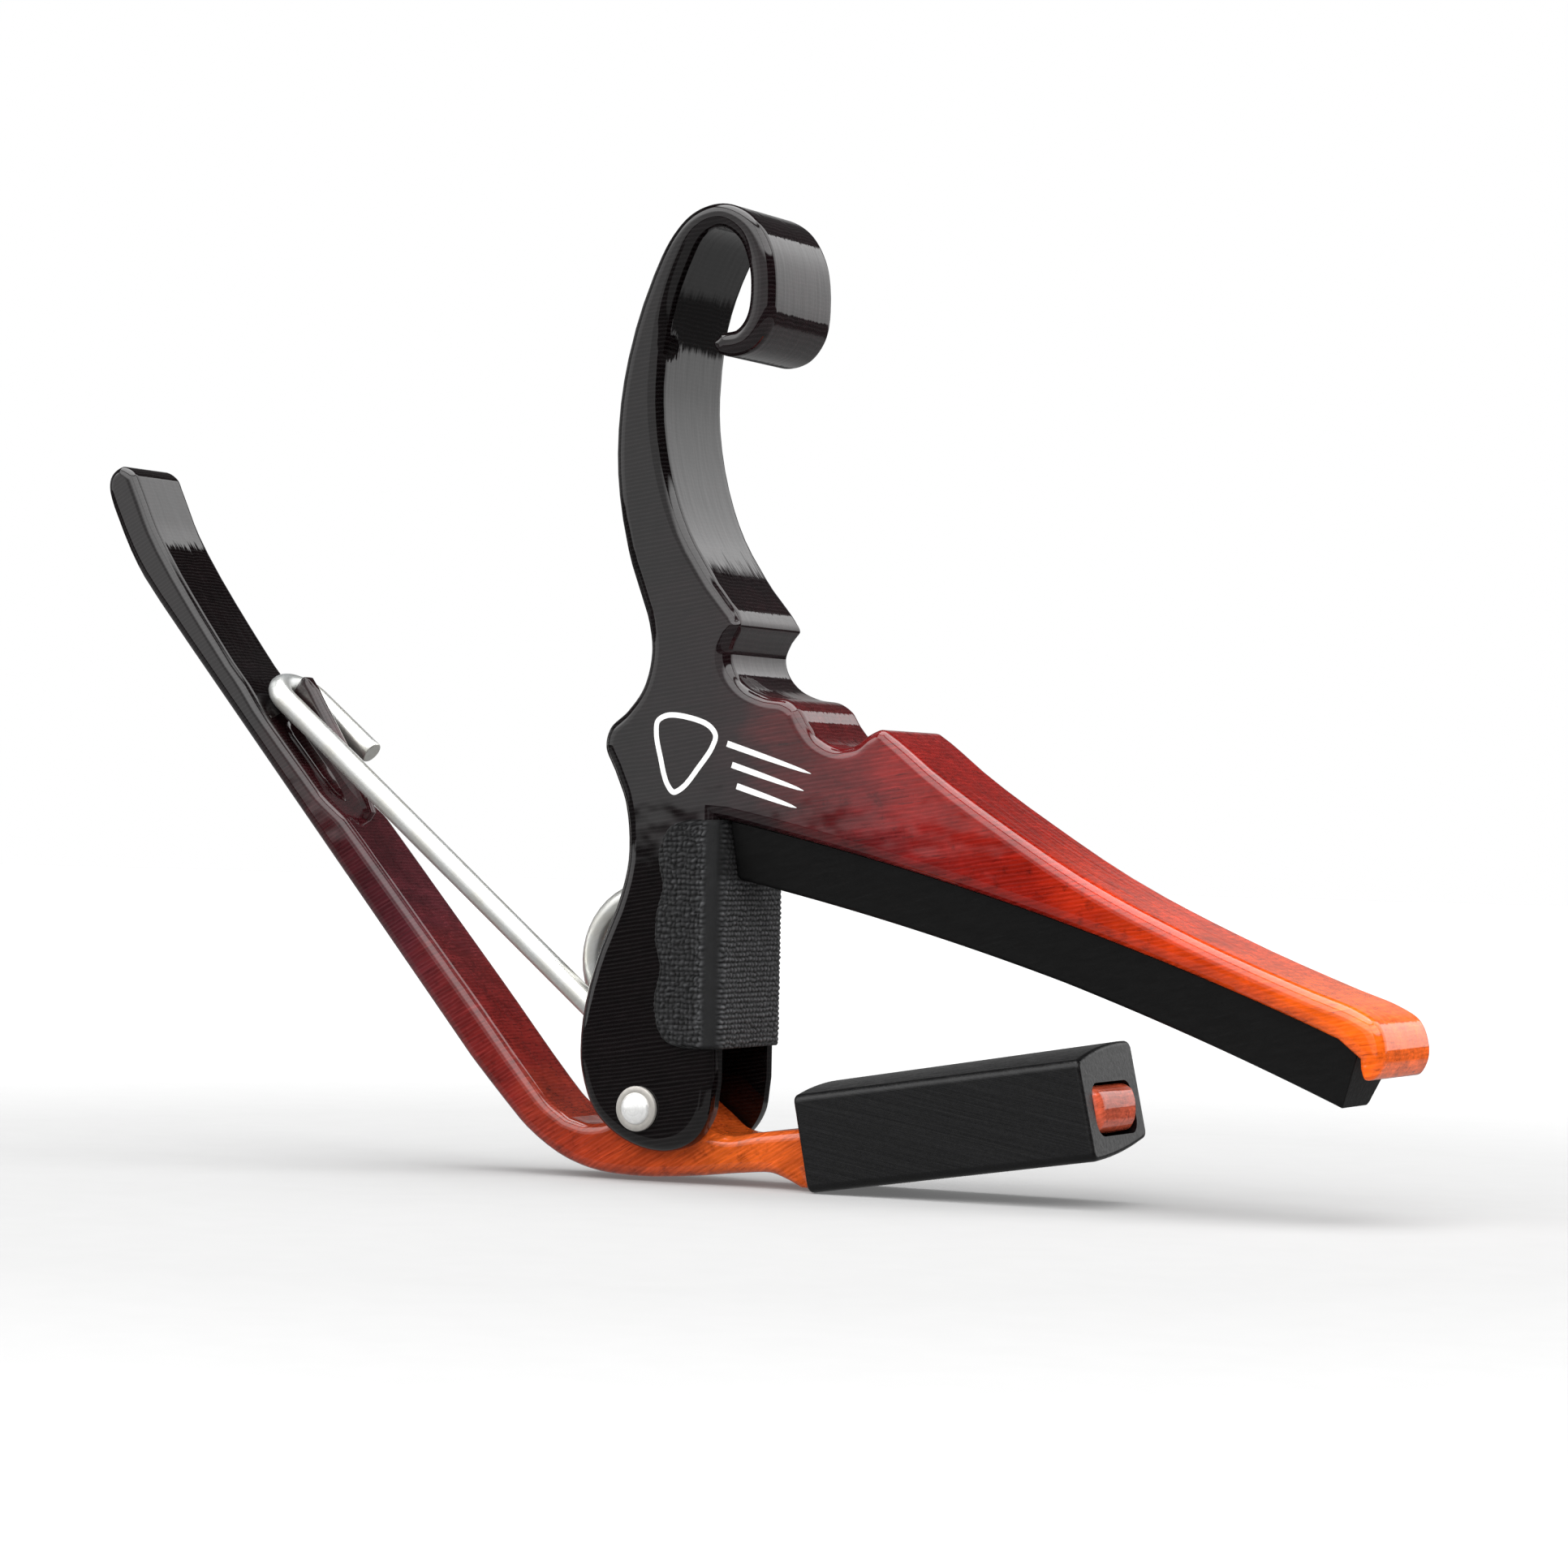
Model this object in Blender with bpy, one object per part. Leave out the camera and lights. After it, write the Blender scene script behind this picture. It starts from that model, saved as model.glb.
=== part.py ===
"""Spring clamp capo: two aluminium levers on one rivet, a torsion spring, a string pad, a neck boot and a tape cover."""

import math

import bmesh
import bpy
from mathutils import Matrix, Vector

MM = 0.001

# The rivet axis runs along Y through this point; every profile below is given from it, in millimetres.
PIVOT_X = -4.1
PIVOT_Z = 6.4

BODY_WIDTH = 12.0
BODY_EDGE = 1.0
SLOT_WIDTH = 8.3
SLOT_TOP = 20.2
LEVER_WIDTH = 8.0
LEVER_EDGE = 0.75
RIVET_HOLE = 2.7
RIVET_SHANK = 2.4
RIVET_HEAD = 3.9
RIVET_HEAD_HEIGHT = 0.85

JAW_RADIUS = 305.0
JAW_START = (7.9, 24.85)
JAW_END = (64.83, 7.71)
PAD_THICK = 4.9
PAD_TOP_WIDTH = 9.6
PAD_STRING_WIDTH = 5.8
PAD_GAP = 0.06
PAD_START = 7.65
PAD_ENDS = ((7.9, 24.85), (64.73, 7.755))
PAD_GROWTH = 0.42

WIRE = 2.1
COIL_CENTRE = (-1.28, 12.26)
COIL_RADIUS = 6.22
COIL_TURNS = 2
COIL_HALF_WIDTH = 3.0
HOOK = (-39.33, 34.93)
HOOK_RADIUS = 2.3
HOOK_FAR = 2.6
HOOK_LIFT = 0.3
HOOK_RETURN = 7.65
POCKET_DEPTH = 4.2
POCKET_BORE = 2.6

FIN_THICK = 1.6

BOOT_WALL_GAP = 0.2
BOOT_HALF_WIDTH = 5.9
BOOT_LEFT = ((14.6, 1.75), (16.4, -6.4))
BOOT_RIGHT = ((40.65, 5.9), (42.5, -2.25))

CLOTH_THICK = 0.35
CLOTH_GAP = 0.06

EAR_FRONT = [(7.15, 24.9), (7.15, 2.6)]
EAR_LOBE = [(7.15, 2.6), (6.6, -0.6), (4.9, -2.75), (2.0, -3.65), (-1.7, -2.85), (-4.65, -0.55), (-6.05, 2.9)]
LEFT_SIDE = [(-6.25, 5.6), (-5.8, 9.2), (-4.6, 13.4), (-2.7, 17.9), (-1.85, 21.6), (-2.2, 26.0), (-3.3, 28.8)]
LEFT_BUMP = [(-4.3, 31.0), (-3.9, 32.7), (-2.2, 34.2), (-0.7, 36.2), (0.0, 39.0), (-0.3, 41.7)]
STEM_LEFT = [(-2.4, 47.6), (-3.6, 53.5), (-3.75, 58.5), (-3.1, 63.8), (-1.4, 69.7), (1.2, 75.0), (3.6, 77.1)]
SCROLL_OUTER = [(6.5, 77.6), (9.2, 76.3), (10.9, 73.6), (11.4, 70.0), (11.0, 66.9), (9.5, 65.0), (7.5, 64.45)]
SCROLL_TIP = [(6.2, 64.75), (5.75, 65.6), (6.4, 66.4)]
SCROLL_INNER = [(7.7, 66.75), (8.6, 67.9), (8.95, 69.9), (8.7, 72.4), (7.7, 74.6), (6.0, 75.6), (4.3, 74.9)]
STEM_RIGHT = [(2.9, 72.6), (1.4, 68.4), (0.75, 63.5), (0.75, 59.5), (1.6, 54.6), (3.3, 49.9), (6.0, 45.6), (8.4, 42.6)]
SCALLOPS = [(8.85, 41.5), (8.2, 40.3), (7.75, 39.0), (8.15, 37.6), (9.4, 36.3), (11.3, 35.5), (13.2, 35.2),
            (14.3, 34.5), (15.2, 33.2), (16.4, 31.95), (18.2, 31.2), (19.8, 31.4), (21.0, 32.25), (22.3, 32.7)]
JAW_TOP = [(23.6, 32.05), (27.6, 29.0), (32.9, 25.5), (41.5, 20.4), (52.1, 15.55), (60.8, 12.2), (64.6, 10.85)]
JAW_TIP = [(66.35, 9.75), (67.05, 8.0), (66.95, 6.5), (66.2, 5.4), (65.55, 5.35), (65.1, 6.1), (64.95, 7.0), (64.83, 7.71)]

HANDLE_OUTER = [(-57.2, 56.5), (-58.4, 55.8), (-58.7, 54.5), (-57.15, 50.6), (-55.0, 46.8), (-51.6, 42.5)]
HANDLE_LOW = [(-51.6, 42.5), (-18.3, 3.55)]
HEEL = [(-18.3, 3.55), (-14.9, 0.0), (-12.3, -2.5), (-9.0, -4.6), (-5.6, -5.7), (-1.5, -6.05), (2.9, -5.85),
        (8.9, -5.2), (11.6, -5.05), (13.4, -5.5), (14.9, -6.1)]
SHOULDER = [(14.9, -6.1), (15.75, -6.0), (15.5, -4.85)]
PADDLE_LOW = [(15.5, -4.85), (40.65, -0.52)]
PADDLE_NOSE = [(40.65, -0.52), (41.65, -0.15), (42.2, 0.65), (42.25, 2.2), (41.8, 3.2), (40.85, 3.65)]
PADDLE_TOP = [(40.85, 3.65), (14.6, -1.15)]
ARM_TOP = [(14.6, -1.15), (10.5, -1.65), (7.6, -2.1), (5.9, -1.75), (4.3, -0.55), (2.2, 1.0), (1.4, 1.75)]
BOSS = [(1.4, 1.75), (0.2, 2.4), (-1.2, 2.1), (-2.2, 1.0), (-2.9, -0.35), (-4.3, -1.35), (-6.3, -1.7), (-8.3, -1.25)]
HANDLE_INNER = [(-8.3, -1.25), (-10.3, 0.05), (-12.3, 2.1), (-18.6, 9.4)]
HANDLE_HIGH = [(-18.6, 9.4), (-44.3, 38.6)]
HANDLE_CURVE = [(-44.3, 38.6), (-51.0, 47.1), (-53.4, 50.8), (-55.2, 54.6), (-55.9, 55.9), (-57.2, 56.5)]

FIN_CREST = [(-40.35, 35.05), (-39.45, 36.65), (-38.5, 37.35), (-37.5, 36.6), (-36.0, 34.5), (-33.3, 30.6), (-31.9, 27.9),
             (-31.1, 25.0)]
FIN_FOOT = [(-31.1, 25.0), (-32.4, 23.2), (-41.45, 33.5), (-40.35, 35.05)]


def clear_scene():
    for obj in list(bpy.data.objects):
        bpy.data.objects.remove(obj, do_unlink=True)


def material(name, color, metallic, roughness, coat=0.0):
    made = bpy.data.materials.new(name)
    made.use_nodes = True
    shader = made.node_tree.nodes["Principled BSDF"]
    shader.inputs["Base Color"].default_value = (*color, 1.0)
    shader.inputs["Metallic"].default_value = metallic
    shader.inputs["Roughness"].default_value = roughness
    shader.inputs["Coat Weight"].default_value = coat
    return made


def catmull(points, closed=False, steps=8):
    """A centripetal spline through the points, densely sampled."""
    pts = [Vector(p) for p in points]
    count = len(pts)
    spans = count if closed else count - 1
    out = []
    for i in range(spans):
        p1 = pts[i % count]
        p2 = pts[(i + 1) % count]
        p0 = pts[(i - 1) % count] if closed or i > 0 else p1 * 2 - p2
        p3 = pts[(i + 2) % count] if closed or i + 2 < count else p2 * 2 - p1
        t0 = 0.0
        t1 = t0 + math.sqrt((p1 - p0).length)
        t2 = t1 + math.sqrt((p2 - p1).length)
        t3 = t2 + math.sqrt((p3 - p2).length)
        for k in range(steps):
            t = t1 + (t2 - t1) * k / steps
            a1 = p0 * ((t1 - t) / (t1 - t0)) + p1 * ((t - t0) / (t1 - t0))
            a2 = p1 * ((t2 - t) / (t2 - t1)) + p2 * ((t - t1) / (t2 - t1))
            a3 = p2 * ((t3 - t) / (t3 - t2)) + p3 * ((t - t2) / (t3 - t2))
            b1 = a1 * ((t2 - t) / (t2 - t0)) + a2 * ((t - t0) / (t2 - t0))
            b2 = a2 * ((t3 - t) / (t3 - t1)) + a3 * ((t - t1) / (t3 - t1))
            out.append(b1 * ((t2 - t) / (t2 - t1)) + b2 * ((t - t1) / (t2 - t1)))
    if not closed:
        out.append(pts[-1])
    return out


def thinned(points, angle=9.0, longest=7.0):
    """The closed loop with the points that add little turning left out."""
    kept = [points[0]]
    turned = 0.0
    for i in range(1, len(points)):
        before = points[i] - points[i - 1]
        after = points[(i + 1) % len(points)] - points[i]
        if before.length < 1e-6 or after.length < 1e-6:
            continue
        here = math.degrees(before.angle(after))
        turned += here
        far = (points[i] - kept[-1]).length
        if here > 25 or turned > angle or far > longest:
            if far > 0.12:
                kept.append(points[i])
                turned = 0.0
    return kept


def outline(*runs):
    """Joins runs of points end to end. Runs that share an end meet at a corner; the others flow on."""
    loop = []
    chain = []
    for run in runs:
        if chain and Vector(chain[-1]) == Vector(run[0]):
            loop += catmull(chain)[:-1]
            chain = list(run)
        else:
            chain += run
    loop += catmull(chain)
    if (loop[0] - loop[-1]).length < 1e-6:
        loop.pop()
    return thinned(loop)


def area(points):
    total = 0.0
    for i in range(len(points)):
        total += points[i - 1].x * points[i].y - points[i].x * points[i - 1].y
    return total / 2


def inward_normals(points):
    """The inward direction at each point of an anticlockwise outline, longer at a corner so that an offset stays parallel."""
    out = []
    count = len(points)
    for i in range(count):
        a = (points[i] - points[i - 1]).normalized()
        b = (points[(i + 1) % count] - points[i]).normalized()
        na = Vector((-a.y, a.x))
        nb = Vector((-b.y, b.x))
        n = na + nb
        out.append(n / max(n.dot(na), 0.6))
    return out


def edge_radii(points, normals, edge):
    """The edge rounding at each point, smaller where the outline is too thin or turns too tightly for the full radius."""
    room = []
    for p, n in zip(points, normals):
        most = 2.0 * edge
        unit = n.normalized()
        for q in points:
            across = unit.dot(q - p)
            if across > 1e-6:
                most = min(most, (q - p).length_squared / (2 * across))
        room.append(min(edge, 0.85 * most))
    for _ in range(3):
        room = [min(room[i], (room[i - 1] + room[i] + room[(i + 1) % len(room)]) / 3) for i in range(len(room))]
    return room


def mesh_object(name, verts, faces, mat=None, at_pivot=True):
    mesh = bpy.data.meshes.new(name)
    origin = Vector((PIVOT_X, 0, PIVOT_Z)) * MM if at_pivot else Vector((0, 0, 0))
    mesh.from_pydata([Vector(v) * MM for v in verts], [], faces)
    obj = bpy.data.objects.new(name, mesh)
    obj.location = origin
    bpy.context.scene.collection.objects.link(obj)
    bm = bmesh.new()
    bm.from_mesh(mesh)
    bmesh.ops.recalc_face_normals(bm, faces=bm.faces)
    bm.to_mesh(mesh)
    bm.free()
    if mat:
        mesh.materials.append(mat)
    return obj


def loft(name, rings, mat=None):
    """Rings of equal length joined side by side, with a flat cap on the first and the last."""
    verts = [v for ring in rings for v in ring]
    count = len(rings[0])
    faces = []
    for r in range(len(rings) - 1):
        for i in range(count):
            j = (i + 1) % count
            faces.append((r * count + i, r * count + j, (r + 1) * count + j, (r + 1) * count + i))
    faces.append(tuple(range(count)))
    last = (len(rings) - 1) * count
    faces.append(tuple(last + i for i in range(count)))
    return mesh_object(name, verts, faces, mat)


def slab(name, points, y0, y1, edge, mat=None, steps=3):
    """The outline extruded from y0 to y1, its edges rounded."""
    if area(points) < 0:
        points = points[::-1]
    normals = inward_normals(points)
    radii = edge_radii(points, normals, edge)
    rings = []
    for face, way in ((y0, 1), (y1, -1)):
        side = []
        for k in range(steps + 1):
            a = math.pi / 2 * k / steps
            ring = []
            for p, n, r in zip(points, normals, radii):
                q = p + n * (r * (1 - math.sin(a)))
                ring.append((q.x, face + way * r * (1 - math.cos(a)), q.y))
            side.append(ring)
        rings += side if way > 0 else side[::-1]
    return loft(name, rings, mat)


def cylinder_y(name, x, z, radius, y0, y1, sides=24):
    ring = [(x + radius * math.cos(2 * math.pi * i / sides), z + radius * math.sin(2 * math.pi * i / sides))
            for i in range(sides)]
    return loft(name, [[(p[0], y, p[1]) for p in ring] for y in (y0, y1)])


def box(name, x0, x1, y0, y1, z0, z1):
    ring = [(x0, z0), (x1, z0), (x1, z1), (x0, z1)]
    return loft(name, [[(p[0], y, p[1]) for p in ring] for y in (y0, y1)])


def combine(obj, other, operation):
    """Applies one exact Boolean and removes the other object."""
    mod = obj.modifiers.new(operation, "BOOLEAN")
    mod.operation = operation
    mod.solver = "EXACT"
    mod.object = other
    bpy.context.view_layer.update()
    graph = bpy.context.evaluated_depsgraph_get()
    made = bpy.data.meshes.new_from_object(obj.evaluated_get(graph))
    obj.modifiers.clear()
    old = obj.data
    obj.data = made
    made.name = obj.name
    bpy.data.meshes.remove(old)
    bpy.data.objects.remove(other, do_unlink=True)


def jaw_arc(offset, count, start=JAW_START, end=JAW_END):
    """Points along the jaw's underside, moved down square to it by the offset."""
    a = Vector(start)
    b = Vector(end)
    chord = b - a
    half = chord.length / 2
    up = Vector((-chord.y, chord.x)).normalized()
    centre = (a + b) / 2 - up * math.sqrt(JAW_RADIUS ** 2 - half ** 2)
    first = math.atan2(a.y - centre.y, a.x - centre.x)
    last = math.atan2(b.y - centre.y, b.x - centre.x)
    radius = JAW_RADIUS - offset
    out = []
    for i in range(count):
        t = first + (last - first) * i / (count - 1)
        out.append((centre.x + radius * math.cos(t), centre.y + radius * math.sin(t)))
    return out


def upper_body(mat):
    under = jaw_arc(0.0, 9)
    under.reverse()
    runs = [EAR_FRONT, EAR_LOBE, LEFT_SIDE, LEFT_BUMP, STEM_LEFT, SCROLL_OUTER, SCROLL_TIP, SCROLL_INNER]
    runs += [STEM_RIGHT, SCALLOPS, JAW_TOP, JAW_TIP, under, [under[-1], EAR_FRONT[0]]]
    half = BODY_WIDTH / 2
    obj = slab("upper_body", outline(*runs), -half, half, BODY_EDGE, mat)
    s = SLOT_WIDTH / 2
    combine(obj, box("cut_slot", -12.0, 9.0, -s, s, -6.0, SLOT_TOP), "DIFFERENCE")
    combine(obj, cylinder_y("cut_bore", 0, 0, RIVET_HOLE / 2, -9, 9), "DIFFERENCE")
    x = COIL_CENTRE[0] + COIL_RADIUS
    sides = 16
    ring = [(x + POCKET_BORE / 2 * math.cos(2 * math.pi * i / sides),
             COIL_HALF_WIDTH - 0.1 + POCKET_BORE / 2 * math.sin(2 * math.pi * i / sides)) for i in range(sides)]
    top = SLOT_TOP + POCKET_DEPTH
    pocket = loft("cut_pocket", [[(p[0], p[1], z) for p in ring] for z in (SLOT_TOP - 1.0, top)])
    combine(obj, pocket, "DIFFERENCE")
    return obj


def along_handle(t, n):
    """A point t mm down the straight handle from its bend, n mm out from its inner face."""
    a = Vector(HANDLE_HIGH[1])
    d = (Vector(HANDLE_HIGH[0]) - a).normalized()
    out = Vector((-d.y, d.x))
    return a + d * t + out * n


def lever_arm(mat):
    runs = [HANDLE_CURVE + HANDLE_OUTER[1:], HANDLE_LOW, HEEL, SHOULDER, PADDLE_LOW, PADDLE_NOSE, PADDLE_TOP, ARM_TOP]
    runs += [BOSS, HANDLE_INNER, HANDLE_HIGH]
    half = LEVER_WIDTH / 2
    loop = []
    for run in runs:
        loop += catmull(run)[:-1]
    obj = slab("lever_arm", thinned(loop), -half, half, LEVER_EDGE, mat)
    for side in (-1, 1):
        y0 = FIN_THICK / 2 - 0.2
        a = along_handle(1.5, 3)
        b = along_handle(1.5, -0.55)
        c = along_handle(17.5, -0.55)
        d = along_handle(19.5, 3)
        ring = [a, b, c, d]
        lo, hi = (y0, 8) if side > 0 else (-8, -y0)
        cut = loft("cut_channel", [[(p.x, y, p.y) for p in ring] for y in (lo, hi)])
        combine(obj, cut, "DIFFERENCE")
    loop = thinned(catmull(FIN_CREST)[:-1] + [Vector(p) for p in FIN_FOOT[:-1]])
    fin = slab("fin", loop, -FIN_THICK / 2, FIN_THICK / 2, 0.4, None, 2)
    combine(obj, fin, "UNION")
    combine(obj, cylinder_y("cut_bore", 0, 0, RIVET_HOLE / 2, -9, 9), "DIFFERENCE")
    return obj


def pivot_rivet(mat):
    half = BODY_WIDTH / 2 + 0.05
    shank = RIVET_SHANK / 2
    head = RIVET_HEAD / 2
    side = [(shank, half), (head, half), (head, half + 0.3), (head - 0.15, half + 0.38), (head * 0.7, half + 0.42),
            (head * 0.6, half + 0.6), (head * 0.35, half + RIVET_HEAD_HEIGHT * 0.93), (0.12, half + RIVET_HEAD_HEIGHT)]
    profile = [(r, -y) for r, y in reversed(side)] + side
    sides = 24
    rings = []
    for r, y in profile:
        ring = []
        for i in range(sides):
            a = 2 * math.pi * i / sides
            ring.append((r * math.cos(a), y, r * math.sin(a)))
        rings.append(ring)
    return loft("pivot_rivet", rings, mat)


def spring_path():
    """The wire's centre line: cut end, return leg, hook, long leg, coil, short leg."""
    cx, cz = COIL_CENTRE
    hook = Vector((HOOK[0], -HOOK_RADIUS, HOOK[1]))
    away = math.atan2(HOOK[1] - cz, HOOK[0] - cx)
    reach = math.hypot(HOOK[0] - cx, HOOK[1] - cz)
    tangent = away + math.acos(COIL_RADIUS / reach)
    leave = Vector((cx + COIL_RADIUS * math.cos(tangent), -COIL_HALF_WIDTH, cz + COIL_RADIUS * math.sin(tangent)))
    along = (leave - hook)
    along.y = 0
    along.normalize()
    lift = Vector((-along.z, 0, along.x)) * HOOK_LIFT
    path = []
    for k in (1.0, 0.5):
        path.append(Vector((HOOK[0], HOOK_FAR, HOOK[1])) + lift + along * (HOOK_RETURN * k))
    for k in range(9):
        a = math.pi * k / 8
        far = (1 + math.cos(a)) / 2
        path.append(hook + Vector((0, (HOOK_FAR + HOOK_RADIUS) * far, 0)) + lift * far - along * (HOOK_RADIUS * math.sin(a)))
    for k in (0.3, 0.65):
        path.append(hook.lerp(leave, k))
    sweep = 2 * math.pi * (COIL_TURNS + 1) - (tangent % (2 * math.pi))
    steps = 16 * COIL_TURNS + 6
    for k in range(steps + 1):
        t = k / steps
        a = tangent + sweep * t
        y = -COIL_HALF_WIDTH + 2 * COIL_HALF_WIDTH * t
        path.append(Vector((cx + COIL_RADIUS * math.cos(a), y, cz + COIL_RADIUS * math.sin(a))))
    end = path[-1]
    path.append(end + Vector((0, 0, 4.0)))
    path.append(Vector((end.x, end.y, SLOT_TOP + POCKET_DEPTH - 0.5)))
    return path


def tube(name, path, radius, sides, mat):
    """A round wire swept along the path with a frame carried from point to point."""
    rings = []
    ref = Vector((0, 0, 1))
    for i, p in enumerate(path):
        before = path[max(i - 1, 0)]
        after = path[min(i + 1, len(path) - 1)]
        d1 = (p - before).normalized() if i else (after - p).normalized()
        d2 = (after - p).normalized() if i < len(path) - 1 else d1
        t = (d1 + d2).normalized()
        ref = (ref - t * ref.dot(t)).normalized()
        other = t.cross(ref)
        ring = []
        for k in range(sides):
            a = 2 * math.pi * k / sides
            ring.append(p + (ref * math.cos(a) + other * math.sin(a)) * radius)
        rings.append(ring)
    return loft(name, rings, mat)


def torsion_spring(mat):
    return tube("torsion_spring", spring_path(), WIRE / 2, 10, mat)


def string_pad(mat):
    """A strip under the jaw, narrower at the string face."""
    count = 15
    upper = jaw_arc(PAD_GAP, count, *PAD_ENDS)
    lower = jaw_arc(PAD_GAP + PAD_THICK, count, *PAD_ENDS)
    top = PAD_TOP_WIDTH / 2
    low = PAD_STRING_WIDTH / 2
    rings = []
    for i in range(count):
        u = Vector((upper[i][0], 0, upper[i][1]))
        w = Vector((lower[i][0], 0, lower[i][1]))
        w += (w - u).normalized() * (PAD_GROWTH * max(i / (count - 1) - 0.55, 0.0) / 0.45)
        w.x = max(w.x, PAD_START)
        ring = []
        for y, k in ((-top, 0), (top, 0), (low + 0.25, 0.93), (low - 0.2, 1.0), (-low + 0.2, 1.0), (-low - 0.25, 0.93)):
            p = u.lerp(w, k)
            ring.append((p.x, y, p.z))
        rings.append(ring)
    return loft("string_pad", rings, mat)


def boot_ring(top, bottom, tilts, crowns, k, half=BOOT_HALF_WIDTH, corner=0.6):
    """One cross-section of the sleeve between a top and a bottom point. Both faces are crowned, and tilt across the width."""
    centre = (Vector(top) + Vector(bottom)) / 2
    up = (Vector(top) - Vector(bottom)).normalized()
    h = (Vector(top) - Vector(bottom)).length / 2
    steps = 6
    across = [-half + corner + (half - corner) * 2 * i / steps for i in range(steps + 1)]
    above = [h + crowns[0] * (1 - (y / half) ** 2) + y * math.tan(tilts[0]) for y in across]
    below = [-h - crowns[1] * (1 - (y / half) ** 2) + y * math.tan(tilts[1]) for y in across]
    near = corner * 0.3
    ring = list(zip(across, above))
    ring += [(half - near, above[-1] - near), (half, above[-1] - corner)]
    ring += [(half, below[-1] + corner), (half - near, below[-1] + near)]
    ring += list(zip(across[::-1], below[::-1]))
    ring += [(-half + near, below[0] + near), (-half, below[0] + corner)]
    ring += [(-half, above[0] - corner), (-half + near, above[0] - near)]
    return [(centre.x + up.x * n * k, y * k, centre.y + up.y * n * k) for y, n in ring]


def neck_boot(mat):
    left_top, left_low = (Vector(p) for p in BOOT_LEFT)
    right_top, right_low = (Vector(p) for p in BOOT_RIGHT)
    rings = []
    stations = ((0.0, 0.965), (0.012, 1.0), (0.35, 1.0), (0.7, 1.0), (0.988, 1.0), (1.0, 0.965))
    for t, k in stations:
        top = left_top.lerp(right_top, t) + Vector((0.1, 0.4 + 0.15 * t))
        low = left_low.lerp(right_low, t) + Vector((0.0, 0.65 * t))
        tilts = (math.radians(4.5 + 2.0 * t), math.radians(7.3 * t))
        rings.append(boot_ring(top, low, tilts, (0.45, 0.3 * t), k))
    obj = loft("neck_boot", rings, mat)
    gap = BOOT_WALL_GAP
    half = LEVER_WIDTH / 2 + gap
    lower_a = Vector(PADDLE_LOW[0])
    lower_b = Vector(PADDLE_LOW[1])
    upper_a = Vector(PADDLE_TOP[1])
    upper_b = Vector(PADDLE_TOP[0])
    ring = [lower_a - (lower_b - lower_a) * 0.2 + Vector((0, -gap)), lower_b + (lower_b - lower_a) * 0.2 + Vector((0, -gap)),
            upper_b + (upper_b - upper_a) * 0.2 + Vector((0, gap)), upper_a - (upper_b - upper_a) * 0.2 + Vector((0, gap))]
    cut = slab("cut_sleeve", ring, -half, half, 0.7, None, 2)
    combine(obj, cut, "DIFFERENCE")
    return obj


def cloth_cover(mat):
    """Tape folded over the front edges of both ears, with one loose wavy edge on each side face."""
    inner_x = EAR_FRONT[0][0] + CLOTH_GAP
    inner_y = BODY_WIDTH / 2 + CLOTH_GAP
    outer_x = inner_x + CLOTH_THICK
    outer_y = inner_y + CLOTH_THICK
    corner = BODY_EDGE
    outer = [(-1.0, -outer_y)]
    for k in range(7):
        a = -math.pi / 2 + math.pi / 2 * k / 6
        r = corner + CLOTH_THICK
        outer.append((outer_x - r + r * math.cos(a), -outer_y + r + r * math.sin(a)))
    outer += [(x, -y) for x, y in reversed(outer)]
    inner = [(-1.0, -inner_y)]
    for k in range(7):
        a = -math.pi / 2 + math.pi / 2 * k / 6
        inner.append((inner_x - corner + corner * math.cos(a), -inner_y + corner + corner * math.sin(a)))
    inner += [(x, -y) for x, y in reversed(inner)]
    ring = outer + inner[::-1]
    obj = loft("cloth_cover", [[(p[0], p[1], z) for p in ring] for z in (3.0, 27.0)], mat)
    edge = [(9.0, 24.7), (7.3, 24.75), (4.6, 25.0), (2.6, 24.3), (1.6, 22.6), (1.45, 21.2), (1.9, 19.2), (1.35, 16.7),
            (1.3, 14.4), (1.8, 12.1), (1.3, 9.6), (1.5, 7.5), (2.3, 6.1), (3.8, 5.5), (6.0, 5.3), (9.0, 5.35)]
    loop = [Vector(p) for p in edge]
    keep = thinned(catmull(loop), 12.0, 3.0)
    body = loft("keep", [[(p.x, y, p.y) for p in keep] for y in (-9, 9)])
    combine(obj, body, "INTERSECT")
    return obj


def main():
    clear_scene()
    lacquer = material("sunburst_lacquer", (0.32, 0.06, 0.03), 0.0, 0.2, 0.8)
    steel = material("nickel_steel", (0.75, 0.75, 0.73), 1.0, 0.25)
    zinc = material("zinc_wire", (0.8, 0.81, 0.8), 1.0, 0.3)
    rubber = material("black_rubber", (0.015, 0.015, 0.015), 0.0, 0.6)
    cloth = material("black_tape", (0.02, 0.02, 0.022), 0.0, 0.9)
    upper_body(lacquer)
    lever_arm(lacquer)
    pivot_rivet(steel)
    torsion_spring(zinc)
    string_pad(rubber)
    neck_boot(rubber)
    cloth_cover(cloth)


main()
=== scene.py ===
"""Looks of the spring clamp capo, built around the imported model.

Profiles are in millimetres from the rivet's axis: x towards the jaw's tip, z up, y across the thickness.
"""

import math

import bmesh
import bpy
from mathutils import Matrix, Vector, noise


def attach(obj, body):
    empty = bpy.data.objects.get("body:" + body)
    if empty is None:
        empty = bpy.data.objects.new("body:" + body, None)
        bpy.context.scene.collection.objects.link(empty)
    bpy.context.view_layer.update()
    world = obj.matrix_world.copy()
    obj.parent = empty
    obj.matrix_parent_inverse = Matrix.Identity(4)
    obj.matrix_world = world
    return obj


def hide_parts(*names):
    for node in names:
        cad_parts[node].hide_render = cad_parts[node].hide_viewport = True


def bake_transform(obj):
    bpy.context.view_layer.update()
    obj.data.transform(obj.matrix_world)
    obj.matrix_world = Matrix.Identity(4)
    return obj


MM = 0.001
PIVOT_X = -4.1
PIVOT_Z = 6.4

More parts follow.
